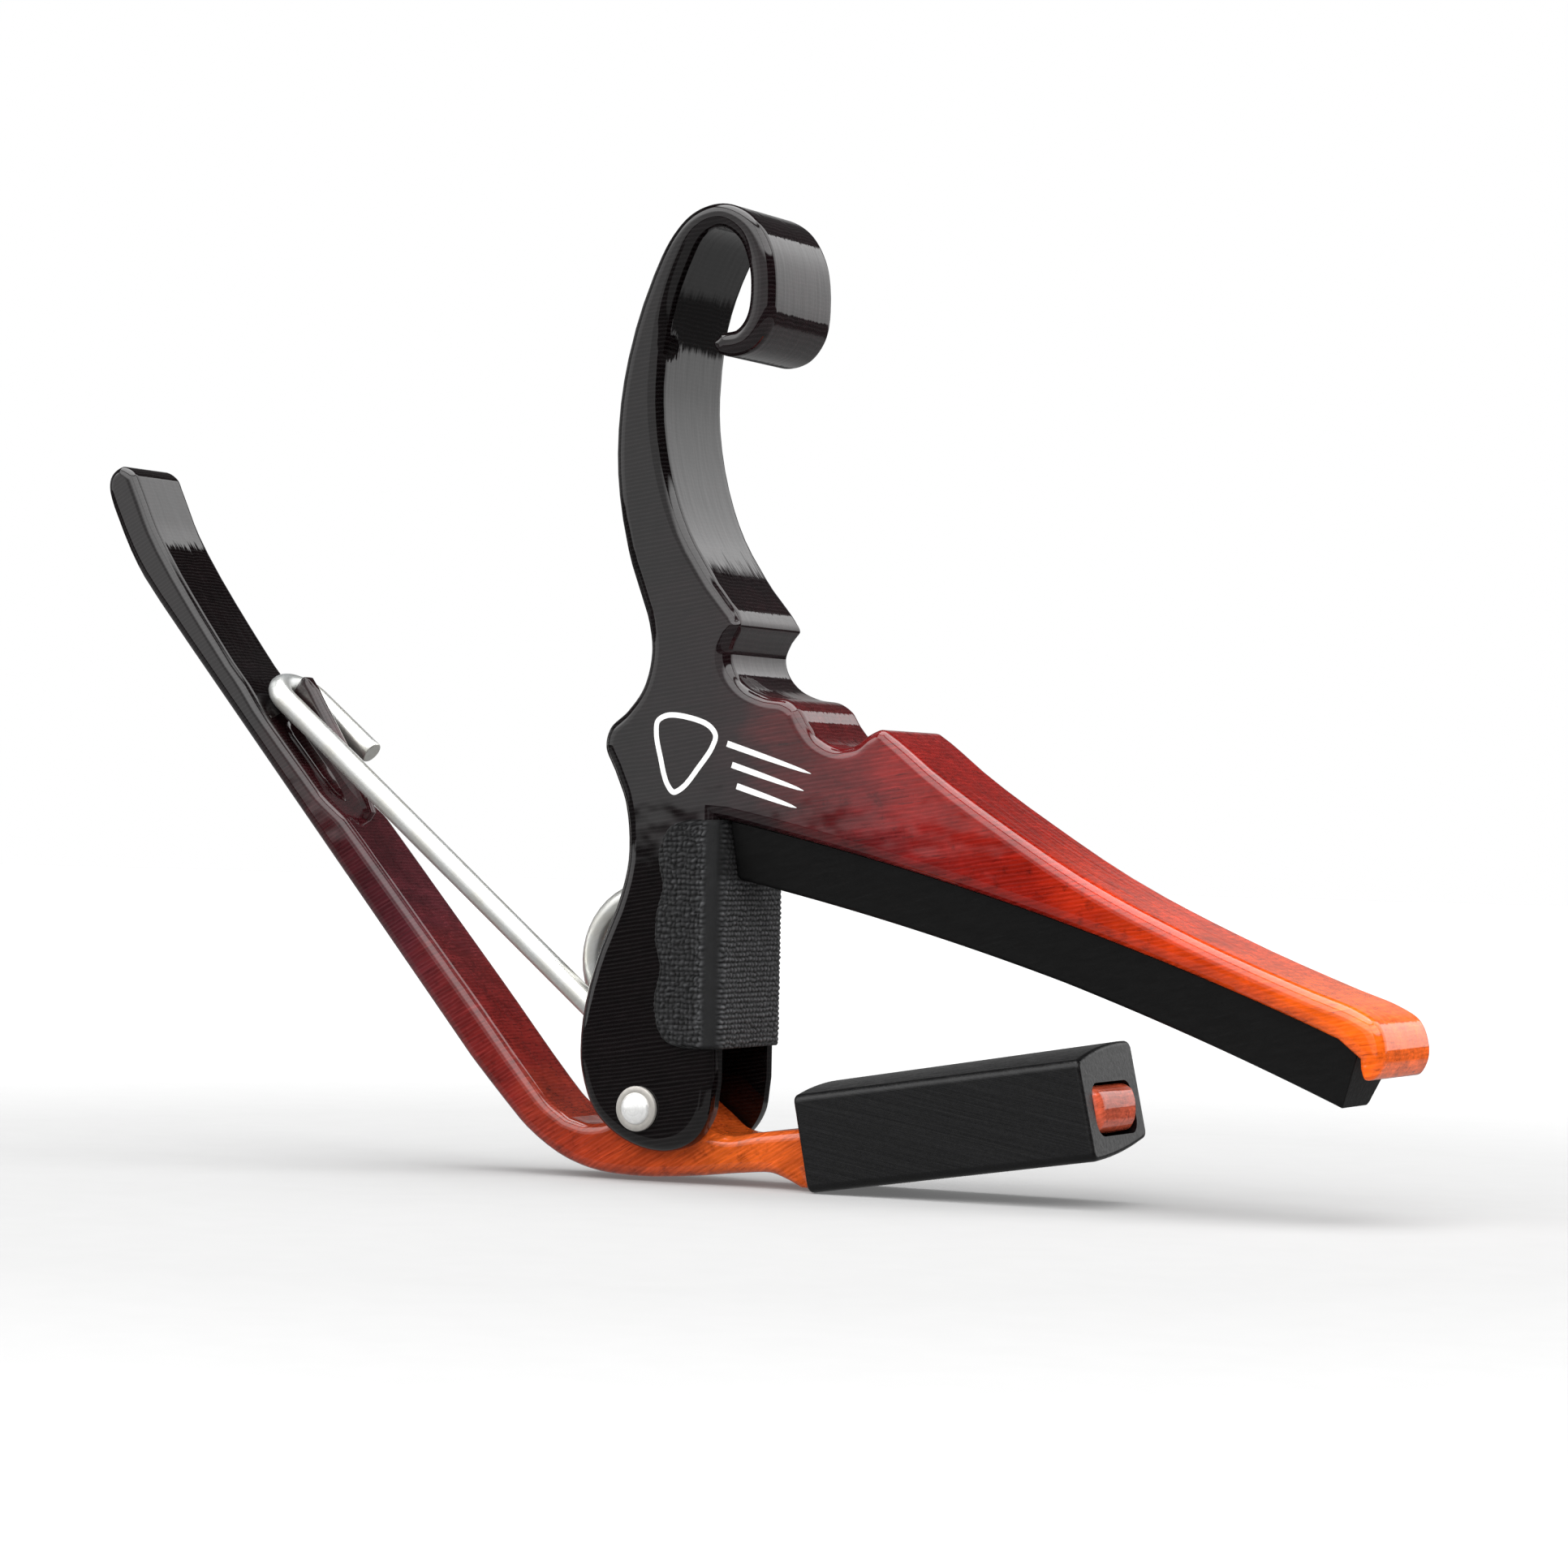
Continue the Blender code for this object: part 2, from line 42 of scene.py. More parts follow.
BODY_WIDTH = 12.0
BODY_EDGE = 1.2
SLOT_WIDTH = 8.3
SLOT_TOP = 20.2
LEVER_WIDTH = 8.0
LEVER_EDGE = 0.95
RIVET_HOLE = 2.7
RIVET_SHANK = 2.4
RIVET_HEAD = 3.9

JAW_RADIUS = 305.0
JAW_START = (7.9, 24.85)
JAW_END = (64.83, 7.71)
PAD_THICK = 4.9
PAD_TOP_WIDTH = 9.6
PAD_STRING_WIDTH = 5.8
PAD_GAP = 0.06
PAD_START = 7.65
PAD_ENDS = ((7.9, 24.85), (64.73, 7.755))
PAD_GROWTH = 0.42

WIRE = 2.1
COIL_CENTRE = (-1.28, 12.26)
COIL_RADIUS = 6.22
COIL_TURNS = 2
COIL_HALF_WIDTH = 3.0
HOOK = (-39.33, 34.93)
HOOK_RADIUS = 2.3
HOOK_FAR = 2.6
HOOK_LIFT = 0.3
HOOK_RETURN = 7.65
POCKET_DEPTH = 4.2
POCKET_BORE = 2.6

FIN_THICK = 1.6
FIN_EDGE = 0.78
FIN_ROOT_SPAN = (6.2, 18.8)
FIN_ROOT_HALF = 1.7
FIN_ROOT_RISE = 0.9
SCOOP_DEPTH = 0.58
SCOOP_SPAN = (1.2, 19.2)
SCOOP_RAMPS = (4.6, 4.4)
BEND_RELIEF = 0.28
BEND_REACH = 14.0

BOOT_HALF_WIDTH = 5.9
BOOT_LEFT = ((14.6, 1.75), (16.4, -6.4))
BOOT_RIGHT = ((40.65, 5.9), (42.5, -2.25))
BOOT_WALL_GAP = 0.2
BOOT_CORNER = 0.75
BOOT_LIP = 0.4
BOOT_TOP_TILT = (4.5, 2.0)
BOOT_LOW_TILT = 7.3

RIVET_RIM = 0.36
RIVET_DOME = 0.48

CLOTH_THICK = 0.35
CLOTH_GAP = 0.06
CLOTH_BOTTOM = 5.35
CLOTH_TOP = 24.9
CLOTH_ROWS = 186
CLOTH_COLUMNS = 172
THREAD = 0.46
THREAD_HEIGHT = 0.26
RIB = 0.44

MARK_PLACE = (3.6, 30.6)
MARK_LINE = 0.46
MARK_TILT = -12
STRINGS_PLACE = (8.0, 29.9)
STRINGS_TILT = -17
STRINGS = ((8.4, 1.5), (7.2, 0.1), (6.0, -1.3))
INK_DEPTH = 0.02

# The camera's place in metres, and the directions of its right, up and back.
CAMERA_PLACE = (0.17907, -0.33490, 0.03052)
CAMERA_AXES = ((0.88864, 0.45816, 0.02039), (-0.01327, -0.01876, 0.99974), (0.45842, -0.88867, -0.01059))
CAMERA_LENS = 100.62

# Light from each side of the studio. Ways are degrees round it: 0 is the back, 90 the right, -90 the left.
BOX_WAY, BOX_LIGHT = (7.0, 58.0), 1.15
WALL_WAY, WALL_LIGHT = (-108.0, 7.0), 0.30
SIDE_WAY, SIDE_LIGHT = (64.0, 138.0), 3.8
FRONT_WAY, FRONT_LIGHT = (140.0, -108.0), 3.5
CEILING_LIGHT = 5.2
TABLE_LIGHT, TABLE_SHADE = 0.34, 0.06

EAR_FRONT = [(7.15, 24.9), (7.15, 2.6)]
EAR_LOBE = [(7.15, 2.6), (6.6, -0.6), (4.9, -2.75), (2.0, -3.65), (-1.7, -2.85), (-4.65, -0.55),
            (-6.05, 2.9)]
LEFT_SIDE = [(-6.25, 5.6), (-5.8, 9.2), (-4.6, 13.4), (-2.7, 17.9), (-1.85, 21.6), (-2.2, 26.0),
             (-3.3, 28.8)]
LEFT_BUMP = [(-4.3, 31.0), (-3.9, 32.7), (-2.2, 34.2), (-0.7, 36.2), (0.0, 39.0), (-0.3, 41.7)]
STEM_LEFT = [(-2.4, 47.6), (-3.6, 53.5), (-3.75, 58.5), (-3.1, 63.8), (-1.4, 69.7), (1.2, 75.0), (3.6, 77.1)]
SCROLL_OUTER = [(6.5, 77.6), (9.2, 76.3), (10.9, 73.6), (11.4, 70.0), (11.0, 66.9), (9.5, 65.0),
                (7.5, 64.45)]
SCROLL_TIP = [(6.2, 64.75), (5.75, 65.6), (6.4, 66.4)]
SCROLL_INNER = [(7.7, 66.75), (8.6, 67.9), (8.95, 69.9), (8.7, 72.4), (7.7, 74.6), (6.0, 75.6), (4.3, 74.9)]
STEM_RIGHT = [(2.9, 72.6), (1.4, 68.4), (0.75, 63.5), (0.75, 59.5), (1.6, 54.6), (3.3, 49.9), (6.0, 45.6),
              (8.4, 42.6)]
SCALLOPS = [(8.85, 41.5), (8.2, 40.3), (7.75, 39.0), (8.15, 37.6), (9.4, 36.3), (11.3, 35.5), (13.2, 35.2),
            (14.3, 34.5), (15.2, 33.2), (16.4, 31.95), (18.2, 31.2), (19.8, 31.4), (21.0, 32.25),
            (22.3, 32.7)]
JAW_TOP = [(23.6, 32.05), (27.6, 29.0), (32.9, 25.5), (41.5, 20.4), (52.1, 15.55), (60.8, 12.2),
           (64.6, 10.85)]
JAW_TIP = [(66.35, 9.75), (67.05, 8.0), (66.95, 6.5), (66.2, 5.4), (65.55, 5.35), (65.1, 6.1), (64.95, 7.0),
           (64.83, 7.71)]

HANDLE_OUTER = [(-57.2, 56.5), (-58.4, 55.8), (-58.7, 54.5), (-57.15, 50.6), (-55.0, 46.8), (-51.6, 42.5)]
HANDLE_LOW = [(-51.6, 42.5), (-18.3, 3.55)]
HEEL = [(-18.3, 3.55), (-14.9, 0.0), (-12.3, -2.5), (-9.0, -4.6), (-5.6, -5.7), (-1.5, -6.05), (2.9, -5.85),
        (8.9, -5.2), (11.6, -5.05), (13.4, -5.5), (14.9, -6.1)]
SHOULDER = [(14.9, -6.1), (15.75, -6.0), (15.5, -4.85)]
PADDLE_LOW = [(15.5, -4.85), (40.65, -0.52)]
PADDLE_NOSE = [(40.65, -0.52), (41.65, -0.15), (42.2, 0.65), (42.25, 2.2), (41.8, 3.2), (40.85, 3.65)]
PADDLE_TOP = [(40.85, 3.65), (14.6, -1.15)]
ARM_TOP = [(14.6, -1.15), (10.5, -1.65), (7.6, -2.1), (5.9, -1.75), (4.3, -0.55), (2.2, 1.0), (1.4, 1.75)]
BOSS = [(1.4, 1.75), (0.2, 2.4), (-1.2, 2.1), (-2.2, 1.0), (-2.9, -0.35), (-4.3, -1.35), (-6.3, -1.7),
        (-8.3, -1.25)]
HANDLE_INNER = [(-8.3, -1.25), (-10.3, 0.05), (-12.3, 2.1), (-18.6, 9.4)]
HANDLE_HIGH = [(-18.6, 9.4), (-44.3, 38.6)]
HANDLE_CURVE = [(-44.3, 38.6), (-51.0, 47.1), (-53.4, 50.8), (-55.2, 54.6), (-55.9, 55.9), (-57.2, 56.5)]

FIN_CREST = [(-40.35, 35.05), (-39.45, 36.65), (-38.6, 37.2), (-37.7, 36.4), (-36.3, 34.2), (-33.7, 30.2),
             (-32.2, 27.6), (-31.1, 25.0)]
FIN_FOOT = [(-31.1, 25.0), (-32.4, 23.2), (-41.45, 33.5), (-40.35, 35.05)]

# The loose edge of the tape on each side face, from its bottom to its top.
CLOTH_EDGE = [(6.4, 5.3), (4.0, 5.45), (2.5, 6.1), (1.75, 7.5), (1.55, 9.6), (2.05, 12.1), (1.55, 14.4),
              (1.6, 16.7), (2.15, 19.2), (1.7, 21.2), (1.85, 22.6), (2.85, 24.3), (4.8, 24.95)]

# The pitch of the lacquer's finest lines.
LINE_PITCH = 0.36

# Colour along the lacquer's fade: the distance along it in millimetres, then linear red, green and blue.
BODY_FADE = [(8.0, (0.0026, 0.0016, 0.0018)), (16.0, (0.006, 0.0028, 0.0035)), (20.0, (0.012, 0.004, 0.005)),
             (23.0, (0.045, 0.006, 0.007)), (28.0, (0.078, 0.006, 0.007)), (31.0, (0.120, 0.008, 0.009)),
             (33.5, (0.180, 0.009, 0.008)), (39.0, (0.195, 0.007, 0.004)), (43.0, (0.225, 0.007, 0.002)),
             (47.0, (0.340, 0.016, 0.003)), (51.0, (0.430, 0.026, 0.003)), (56.0, (0.490, 0.036, 0.003)),
             (61.0, (0.545, 0.054, 0.004)), (65.5, (0.700, 0.095, 0.006)), (70.0, (0.820, 0.118, 0.008))]
LEVER_FADE = [(-42.0, (0.0035, 0.002, 0.0023)), (-37.0, (0.012, 0.0025, 0.003)),
              (-33.0, (0.036, 0.005, 0.007)), (-29.0, (0.044, 0.007, 0.01)), (-25.0, (0.062, 0.01, 0.014)),
              (-21.0, (0.105, 0.012, 0.013)), (-17.0, (0.13, 0.011, 0.01)), (-13.5, (0.15, 0.013, 0.01)),
              (-11.0, (0.205, 0.022, 0.012)), (-8.0, (0.265, 0.028, 0.01)), (-4.5, (0.32, 0.036, 0.01)),
              (2.0, (0.41, 0.055, 0.01)), (7.5, (0.52, 0.085, 0.01)), (14.0, (0.52, 0.082, 0.012)),
              (42.0, (0.62, 0.105, 0.05))]


# ---------------------------------------------------------------- outlines and solids


def catmull(points, steps=14):
    """A centripetal spline through the points, densely sampled."""
    pts = [Vector(p) for p in points]
    out = []
    for i in range(len(pts) - 1):
        p1, p2 = pts[i], pts[i + 1]
        p0 = pts[i - 1] if i > 0 else p1 * 2 - p2
        p3 = pts[i + 2] if i + 2 < len(pts) else p2 * 2 - p1
        t0 = 0.0
        t1 = t0 + math.sqrt((p1 - p0).length)
        t2 = t1 + math.sqrt((p2 - p1).length)
        t3 = t2 + math.sqrt((p3 - p2).length)
        for k in range(steps):
            t = t1 + (t2 - t1) * k / steps
            a1 = p0 * ((t1 - t) / (t1 - t0)) + p1 * ((t - t0) / (t1 - t0))
            a2 = p1 * ((t2 - t) / (t2 - t1)) + p2 * ((t - t1) / (t2 - t1))
            a3 = p2 * ((t3 - t) / (t3 - t2)) + p3 * ((t - t2) / (t3 - t2))
            b1 = a1 * ((t2 - t) / (t2 - t0)) + a2 * ((t - t0) / (t2 - t0))
            b2 = a2 * ((t3 - t) / (t3 - t1)) + a3 * ((t - t1) / (t3 - t1))
            out.append(b1 * ((t2 - t) / (t2 - t1)) + b2 * ((t - t1) / (t2 - t1)))
    out.append(pts[-1])
    return out


def thinned(points, angle=3.2, longest=2.4, shortest=0.07):
    """The closed loop with the points that add little turning left out."""
    kept = [points[0]]
    turned = 0.0
    for i in range(1, len(points)):
        before = points[i] - points[i - 1]
        after = points[(i + 1) % len(points)] - points[i]
        if before.length < 1e-6 or after.length < 1e-6:
            continue
        here = math.degrees(before.angle(after))
        turned += here
        far = (points[i] - kept[-1]).length
        if (here > 25 or turned > angle or far > longest) and far > shortest:
            kept.append(points[i])
            turned = 0.0
    return kept


def outline(*runs):
    """Joins runs of points end to end. Runs that share an end meet at a corner; the others flow on."""
    loop = []
    chain = []
    for run in runs:
        if chain and Vector(chain[-1]) == Vector(run[0]):
            loop += catmull(chain)[:-1]
            chain = list(run)
        else:
            chain += run
    loop += catmull(chain)
    if (loop[0] - loop[-1]).length < 1e-6:
        loop.pop()
    return thinned(loop)


def area(points):
    """Signed area of a closed loop, positive where it runs anticlockwise."""
    return sum(points[i - 1].x * points[i].y - points[i].x * points[i - 1].y for i in range(len(points))) / 2


def inward_normals(points):
    """Inward directions along an anticlockwise loop, longer at corners so that an inset stays parallel."""
    out = []
    count = len(points)
    for i in range(count):
        a = (points[i] - points[i - 1]).normalized()
        b = (points[(i + 1) % count] - points[i]).normalized()
        na = Vector((-a.y, a.x))
        n = na + Vector((-b.y, b.x))
        out.append(n / max(n.dot(na), 0.6))
    return out


def edge_radii(points, normals, edge):
    """The edge rounding at each point, smaller where the outline is too thin or too tight for all of it."""
    room = []
    for p, n in zip(points, normals):
        most = 2.0 * edge
        unit = n.normalized()
        for q in points:
            across = unit.dot(q - p)
            if across > 1e-6:
                most = min(most, (q - p).length_squared / (2 * across))
        room.append(min(edge, 0.9 * most))
    for _ in range(8):
        count = len(room)
        room = [min(room[i], (room[i - 1] + room[i] + room[(i + 1) % count]) / 3) for i in range(count)]
    return room


def mesh_object(name, verts, faces):
    """A mesh from points in millimetres from the rivet, put at its place in the row frame."""
    shift = Vector((PIVOT_X, 0, PIVOT_Z))
    mesh = bpy.data.meshes.new(name)
    mesh.from_pydata([(Vector(v) + shift) * MM for v in verts], [], faces)
    obj = bpy.data.objects.new(name, mesh)
    bpy.context.scene.collection.objects.link(obj)
    bm = bmesh.new()
    bm.from_mesh(mesh)
    bmesh.ops.recalc_face_normals(bm, faces=bm.faces)
    bm.to_mesh(mesh)
    bm.free()
    return obj


def loft(name, rings, closed=False):
    """Rings of equal length joined side by side, capped at both ends, or closed into a torus."""
    verts = [v for ring in rings for v in ring]
    count = len(rings[0])
    faces = []
    spans = len(rings) if closed else len(rings) - 1
    for r in range(spans):
        low = r * count
        high = ((r + 1) % len(rings)) * count
        for i in range(count):
            j = (i + 1) % count
            faces.append((low + i, low + j, high + j, high + i))
    if not closed:
        last = (len(rings) - 1) * count
        faces.append(tuple(range(count)))
        faces.append(tuple(last + i for i in range(count)))
    return mesh_object(name, verts, faces)


def slab(name, points, y0, y1, edge, steps=7):
    """The outline extruded from y0 to y1, its edges rounded."""
    if area(points) < 0:
        points = points[::-1]
    normals = inward_normals(points)
    radii = edge_radii(points, normals, edge)
    rings = []
    for face, way in ((y0, 1), (y1, -1)):
        side = []
        for k in range(steps + 1):
            a = math.pi / 2 * k / steps
            ring = []
            for p, n, r in zip(points, normals, radii):
                q = p + n * (r * (1 - math.sin(a)))
                ring.append((q.x, face + way * r * (1 - math.cos(a)), q.y))
            side.append(ring)
        rings += side if way > 0 else side[::-1]
    return loft(name, rings)


def prism_y(name, points, y0, y1):
    """The outline extruded from y0 to y1 with sharp edges."""
    return loft(name, [[(p[0], y, p[1]) for p in points] for y in (y0, y1)])


def circle(x, z, radius, sides):
    turn = 2 * math.pi / sides
    return [(x + radius * math.cos(turn * i), z + radius * math.sin(turn * i)) for i in range(sides)]


def combine(obj, other, operation):
    """Applies one exact Boolean and removes the other object."""
    mod = obj.modifiers.new(operation, "BOOLEAN")
    mod.operation = operation
    mod.solver = "EXACT"
    mod.object = other
    bpy.context.view_layer.update()
    graph = bpy.context.evaluated_depsgraph_get()
    made = bpy.data.meshes.new_from_object(obj.evaluated_get(graph))
    obj.modifiers.clear()
    old = obj.data
    obj.data = made
    made.name = obj.name
    bpy.data.meshes.remove(old)
    bpy.data.objects.remove(other, do_unlink=True)


def smooth(obj, degrees=38.0):
    """Smooth shading with sharp creases, and large flat faces kept flat."""
    obj.data.shade_smooth()
    obj.data.set_sharp_from_angle(angle=math.radians(degrees))
    mod = obj.modifiers.new("flat_faces_first", "WEIGHTED_NORMAL")
    mod.mode = "FACE_AREA"
    mod.weight = 60
    mod.keep_sharp = True


def finished(obj, mat, body, slot, *nodes):
    """Gives the piece its material and its body, and hides the CAD nodes that it stands for. The slot is not
    used.
    """
    obj.data.materials.clear()
    obj.data.materials.append(mat)
    if body:
        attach(obj, body)
    if nodes:
        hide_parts(*nodes)
    return obj


def jaw_arc(offset, count, start=JAW_START, end=JAW_END):
    """Points along the jaw's underside, moved down square to it by the offset."""
    a, b = Vector(start), Vector(end)
    chord = b - a
    up = Vector((-chord.y, chord.x)).normalized()
    centre = (a + b) / 2 - up * math.sqrt(JAW_RADIUS ** 2 - (chord.length / 2) ** 2)
    first = math.atan2(a.y - centre.y, a.x - centre.x)
    last = math.atan2(b.y - centre.y, b.x - centre.x)
    radius = JAW_RADIUS - offset
    turns = [first + (last - first) * i / (count - 1) for i in range(count)]
    return [(centre.x + radius * math.cos(t), centre.y + radius * math.sin(t)) for t in turns]


def along_handle(t, n):
    """A point t mm down the straight handle from its bend, n mm out from its inner face."""
    a = Vector(HANDLE_HIGH[1])
    d = (Vector(HANDLE_HIGH[0]) - a).normalized()
    return a + d * t + Vector((-d.y, d.x)) * n


def smoothstep(t):
    """0 below 0, 1 above 1, smooth between."""
    t = min(max(t, 0.0), 1.0)
    return t * t * (3 - 2 * t)


# ---------------------------------------------------------------- pieces


def upper_body():
    """Scroll, stem, jaw and ears in one casting, with the slot, the rivet's bore and the spring's pocket."""
    under = jaw_arc(0.0, 24)
    under.reverse()
    runs = [EAR_FRONT, EAR_LOBE, LEFT_SIDE, LEFT_BUMP, STEM_LEFT, SCROLL_OUTER, SCROLL_TIP, SCROLL_INNER]
    runs += [STEM_RIGHT, SCALLOPS, JAW_TOP, JAW_TIP, under, [under[-1], EAR_FRONT[0]]]
    half = BODY_WIDTH / 2
    obj = slab("capo_body", outline(*runs), -half, half, BODY_EDGE, 8)
    s = SLOT_WIDTH / 2
    x0, x1, z0, z1 = -12.0, 9.0, -6.0, SLOT_TOP
    combine(obj, prism_y("cut_slot", [(x0, z0), (x1, z0), (x1, z1), (x0, z1)], -s, s), "DIFFERENCE")
    combine(obj, prism_y("cut_bore", circle(0, 0, RIVET_HOLE / 2, 40), -9, 9), "DIFFERENCE")
    ring = circle(COIL_CENTRE[0] + COIL_RADIUS, COIL_HALF_WIDTH - 0.1, POCKET_BORE / 2, 24)
    heights = (SLOT_TOP - 1.0, SLOT_TOP + POCKET_DEPTH)
    combine(obj, loft("cut_pocket", [[(p[0], p[1], z) for p in ring] for z in heights]), "DIFFERENCE")
    return obj


def scoop(t):
    """Depth of the hollow beside the fin at a distance t down the handle's inner face."""
    start, end = SCOOP_SPAN
    ramp_in, ramp_out = SCOOP_RAMPS
    relief = BEND_RELIEF * smoothstep((t + BEND_REACH) / BEND_REACH)
    depth = relief + (SCOOP_DEPTH - BEND_RELIEF) * smoothstep((t - start) / ramp_in)
    return depth * (1 - smoothstep((t - end + ramp_out) / ramp_out))


def handle_face():
    """The handle's inner face from the heel to the bend, scooped beside the fin."""
    total = (Vector(HANDLE_HIGH[1]) - Vector(HANDLE_HIGH[0])).length
    places = [total * (1 - k / 130) for k in range(131)]
    return [along_handle(t, -scoop(t)) for t in places]


def hollowed(points):
    """Points with those on the bend's inner face lowered, so that the scoop runs out on it."""
    bend = Vector(HANDLE_HIGH[1])
    down = (Vector(HANDLE_HIGH[0]) - bend).normalized()
    out = along_handle(0, 1) - bend
    moved = []
    for p in points:
        t, n = (p - bend).dot(down), (p - bend).dot(out)
        moved.append(p - out * scoop(t) if t <= 0 and -1 < n < 3 else p)
    return moved


def fin_root():
    """The concave fillets that run from the fin down into the scoop on both sides."""
    start, end = FIN_ROOT_SPAN
    steps = 24
    buried = 1.6
    rings = []
    for k in range(steps + 1):
        t = start + (end - start) * k / steps
        rise = FIN_ROOT_RISE * smoothstep(k / 4) * (1 - smoothstep((t - 13.5) / 4.6)) + 0.1
        ring = []
        for i in range(steps + 1):
            y = FIN_ROOT_HALF * (2 * i / steps - 1)
            slope = min(max(abs(y) - 0.7, 0.0), 1.0)
            p = along_handle(t, -SCOOP_DEPTH - 0.06 + rise * (1 - slope) ** 2.2)
            ring.append((p.x, y, p.y))
        p = along_handle(t, -buried)
        ring += [(p.x, FIN_ROOT_HALF, p.y), (p.x, -FIN_ROOT_HALF, p.y)]
        rings.append(ring)
    return loft("fin_root", rings)


def lever_arm():
    """Handle, heel, boss and arm in one casting, with the fin for the spring and the rivet's bore."""
    before = [HANDLE_CURVE + HANDLE_OUTER[1:], HANDLE_LOW, HEEL, SHOULDER]
    before += [PADDLE_LOW, PADDLE_NOSE, PADDLE_TOP, ARM_TOP, BOSS, HANDLE_INNER]
    loop = []
    for run in before:
        loop += hollowed(catmull(run)[:-1])
    loop += handle_face()[:-1]
    half = LEVER_WIDTH / 2
    obj = slab("capo_lever", thinned(loop), -half, half, LEVER_EDGE, 7)
    fin = slab("fin", thinned(catmull(FIN_CREST)[:-1] + [Vector(p) for p in FIN_FOOT[:-1]]),
               -FIN_THICK / 2, FIN_THICK / 2, FIN_EDGE, 6)
    combine(obj, fin, "UNION")
    combine(obj, fin_root(), "UNION")
    combine(obj, prism_y("cut_bore", circle(0, 0, RIVET_HOLE / 2, 40), -9, 9), "DIFFERENCE")
    return obj


def pivot_rivet():
    """A shank with a domed head on a flat rim at each end, turned about its axis."""
    half = BODY_WIDTH / 2 + 0.05
    shank = RIVET_SHANK / 2
    head = RIVET_HEAD / 2
    side = [(shank, half), (head - 0.05, half), (head, half + 0.05), (head, half + 0.2),
            (head - 0.04, half + 0.29), (head - 0.12, half + 0.34), (head * 0.76, half + RIVET_RIM),
            (head * 0.715, half + 0.34)]
    dome = head * 0.69
    for k in range(9):
        a = math.pi / 2 * k / 8
        side.append((max(dome * math.cos(a), 0.02), half + RIVET_RIM + RIVET_DOME * math.sin(a)))
    profile = [(r, -y) for r, y in reversed(side)] + side
    rings = [[(p[0], y, p[1]) for p in circle(0, 0, r, 64)] for r, y in profile]
    return loft("capo_rivet", rings)


def spring_path():
    """The wire's centre line: cut end, return leg, hook, long leg, coil, short leg."""
    cx, cz = COIL_CENTRE
    hook = Vector((HOOK[0], -HOOK_RADIUS, HOOK[1]))
    away = math.atan2(HOOK[1] - cz, HOOK[0] - cx)
    reach = math.hypot(HOOK[0] - cx, HOOK[1] - cz)
    tangent = away + math.acos(COIL_RADIUS / reach)

    def on_coil(angle, y):
        return Vector((cx + COIL_RADIUS * math.cos(angle), y, cz + COIL_RADIUS * math.sin(angle)))

    leave = on_coil(tangent, -COIL_HALF_WIDTH)
    along = leave - hook
    along.y = 0
    along.normalize()
    lift = Vector((-along.z, 0, along.x)) * HOOK_LIFT
    far = Vector((HOOK[0], HOOK_FAR, HOOK[1])) + lift
    path = [far + along * (HOOK_RETURN * (1 - k / 8)) for k in range(8)]
    for k in range(21):
        a = math.pi * k / 20
        across = hook.lerp(far, (1 + math.cos(a)) / 2)
        path.append(across - along * (HOOK_RADIUS * math.sin(a)))
    path += [hook.lerp(leave, k / 36) for k in range(1, 36)]
    sweep = 2 * math.pi * (COIL_TURNS + 1) - (tangent % (2 * math.pi))
    steps = 44 * COIL_TURNS + 20
    for k in range(steps + 1):
        t = k / steps
        path.append(on_coil(tangent + sweep * t, -COIL_HALF_WIDTH + 2 * COIL_HALF_WIDTH * t))
    end = path[-1]
    top = SLOT_TOP + POCKET_DEPTH - 0.5
    path += [Vector((end.x, end.y, end.z + (top - end.z) * k / 10)) for k in range(1, 11)]
    return path


def torsion_spring():
    """A round wire with slightly broken cut ends, swept with a frame carried from point to point."""
    path = spring_path()
    radius = WIRE / 2
    sides = 24
    rings = []
    ref = Vector((0, 0, 1))
    for i, p in enumerate(path):
        d1 = (p - path[i - 1]).normalized() if i else (path[1] - p).normalized()
        d2 = (path[i + 1] - p).normalized() if i < len(path) - 1 else d1
        t = (d1 + d2).normalized()
        ref = (ref - t * ref.dot(t)).normalized()
        other = t.cross(ref)
        sizes = [(0.0, radius)]
        if i == 0:
            sizes = [(0.0, radius - 0.14), (0.04, radius - 0.06), (0.12, radius)]
        elif i == len(path) - 1:
            sizes = [(-0.12, radius), (-0.04, radius - 0.06), (0.0, radius - 0.14)]
        for shift, r in sizes:
            ring = []
            for k in range(sides):
                a = 2 * math.pi * k / sides
                ring.append(p + t * shift + (ref * math.cos(a) + other * math.sin(a)) * r)
            rings.append(ring)
    return loft("capo_spring", rings)


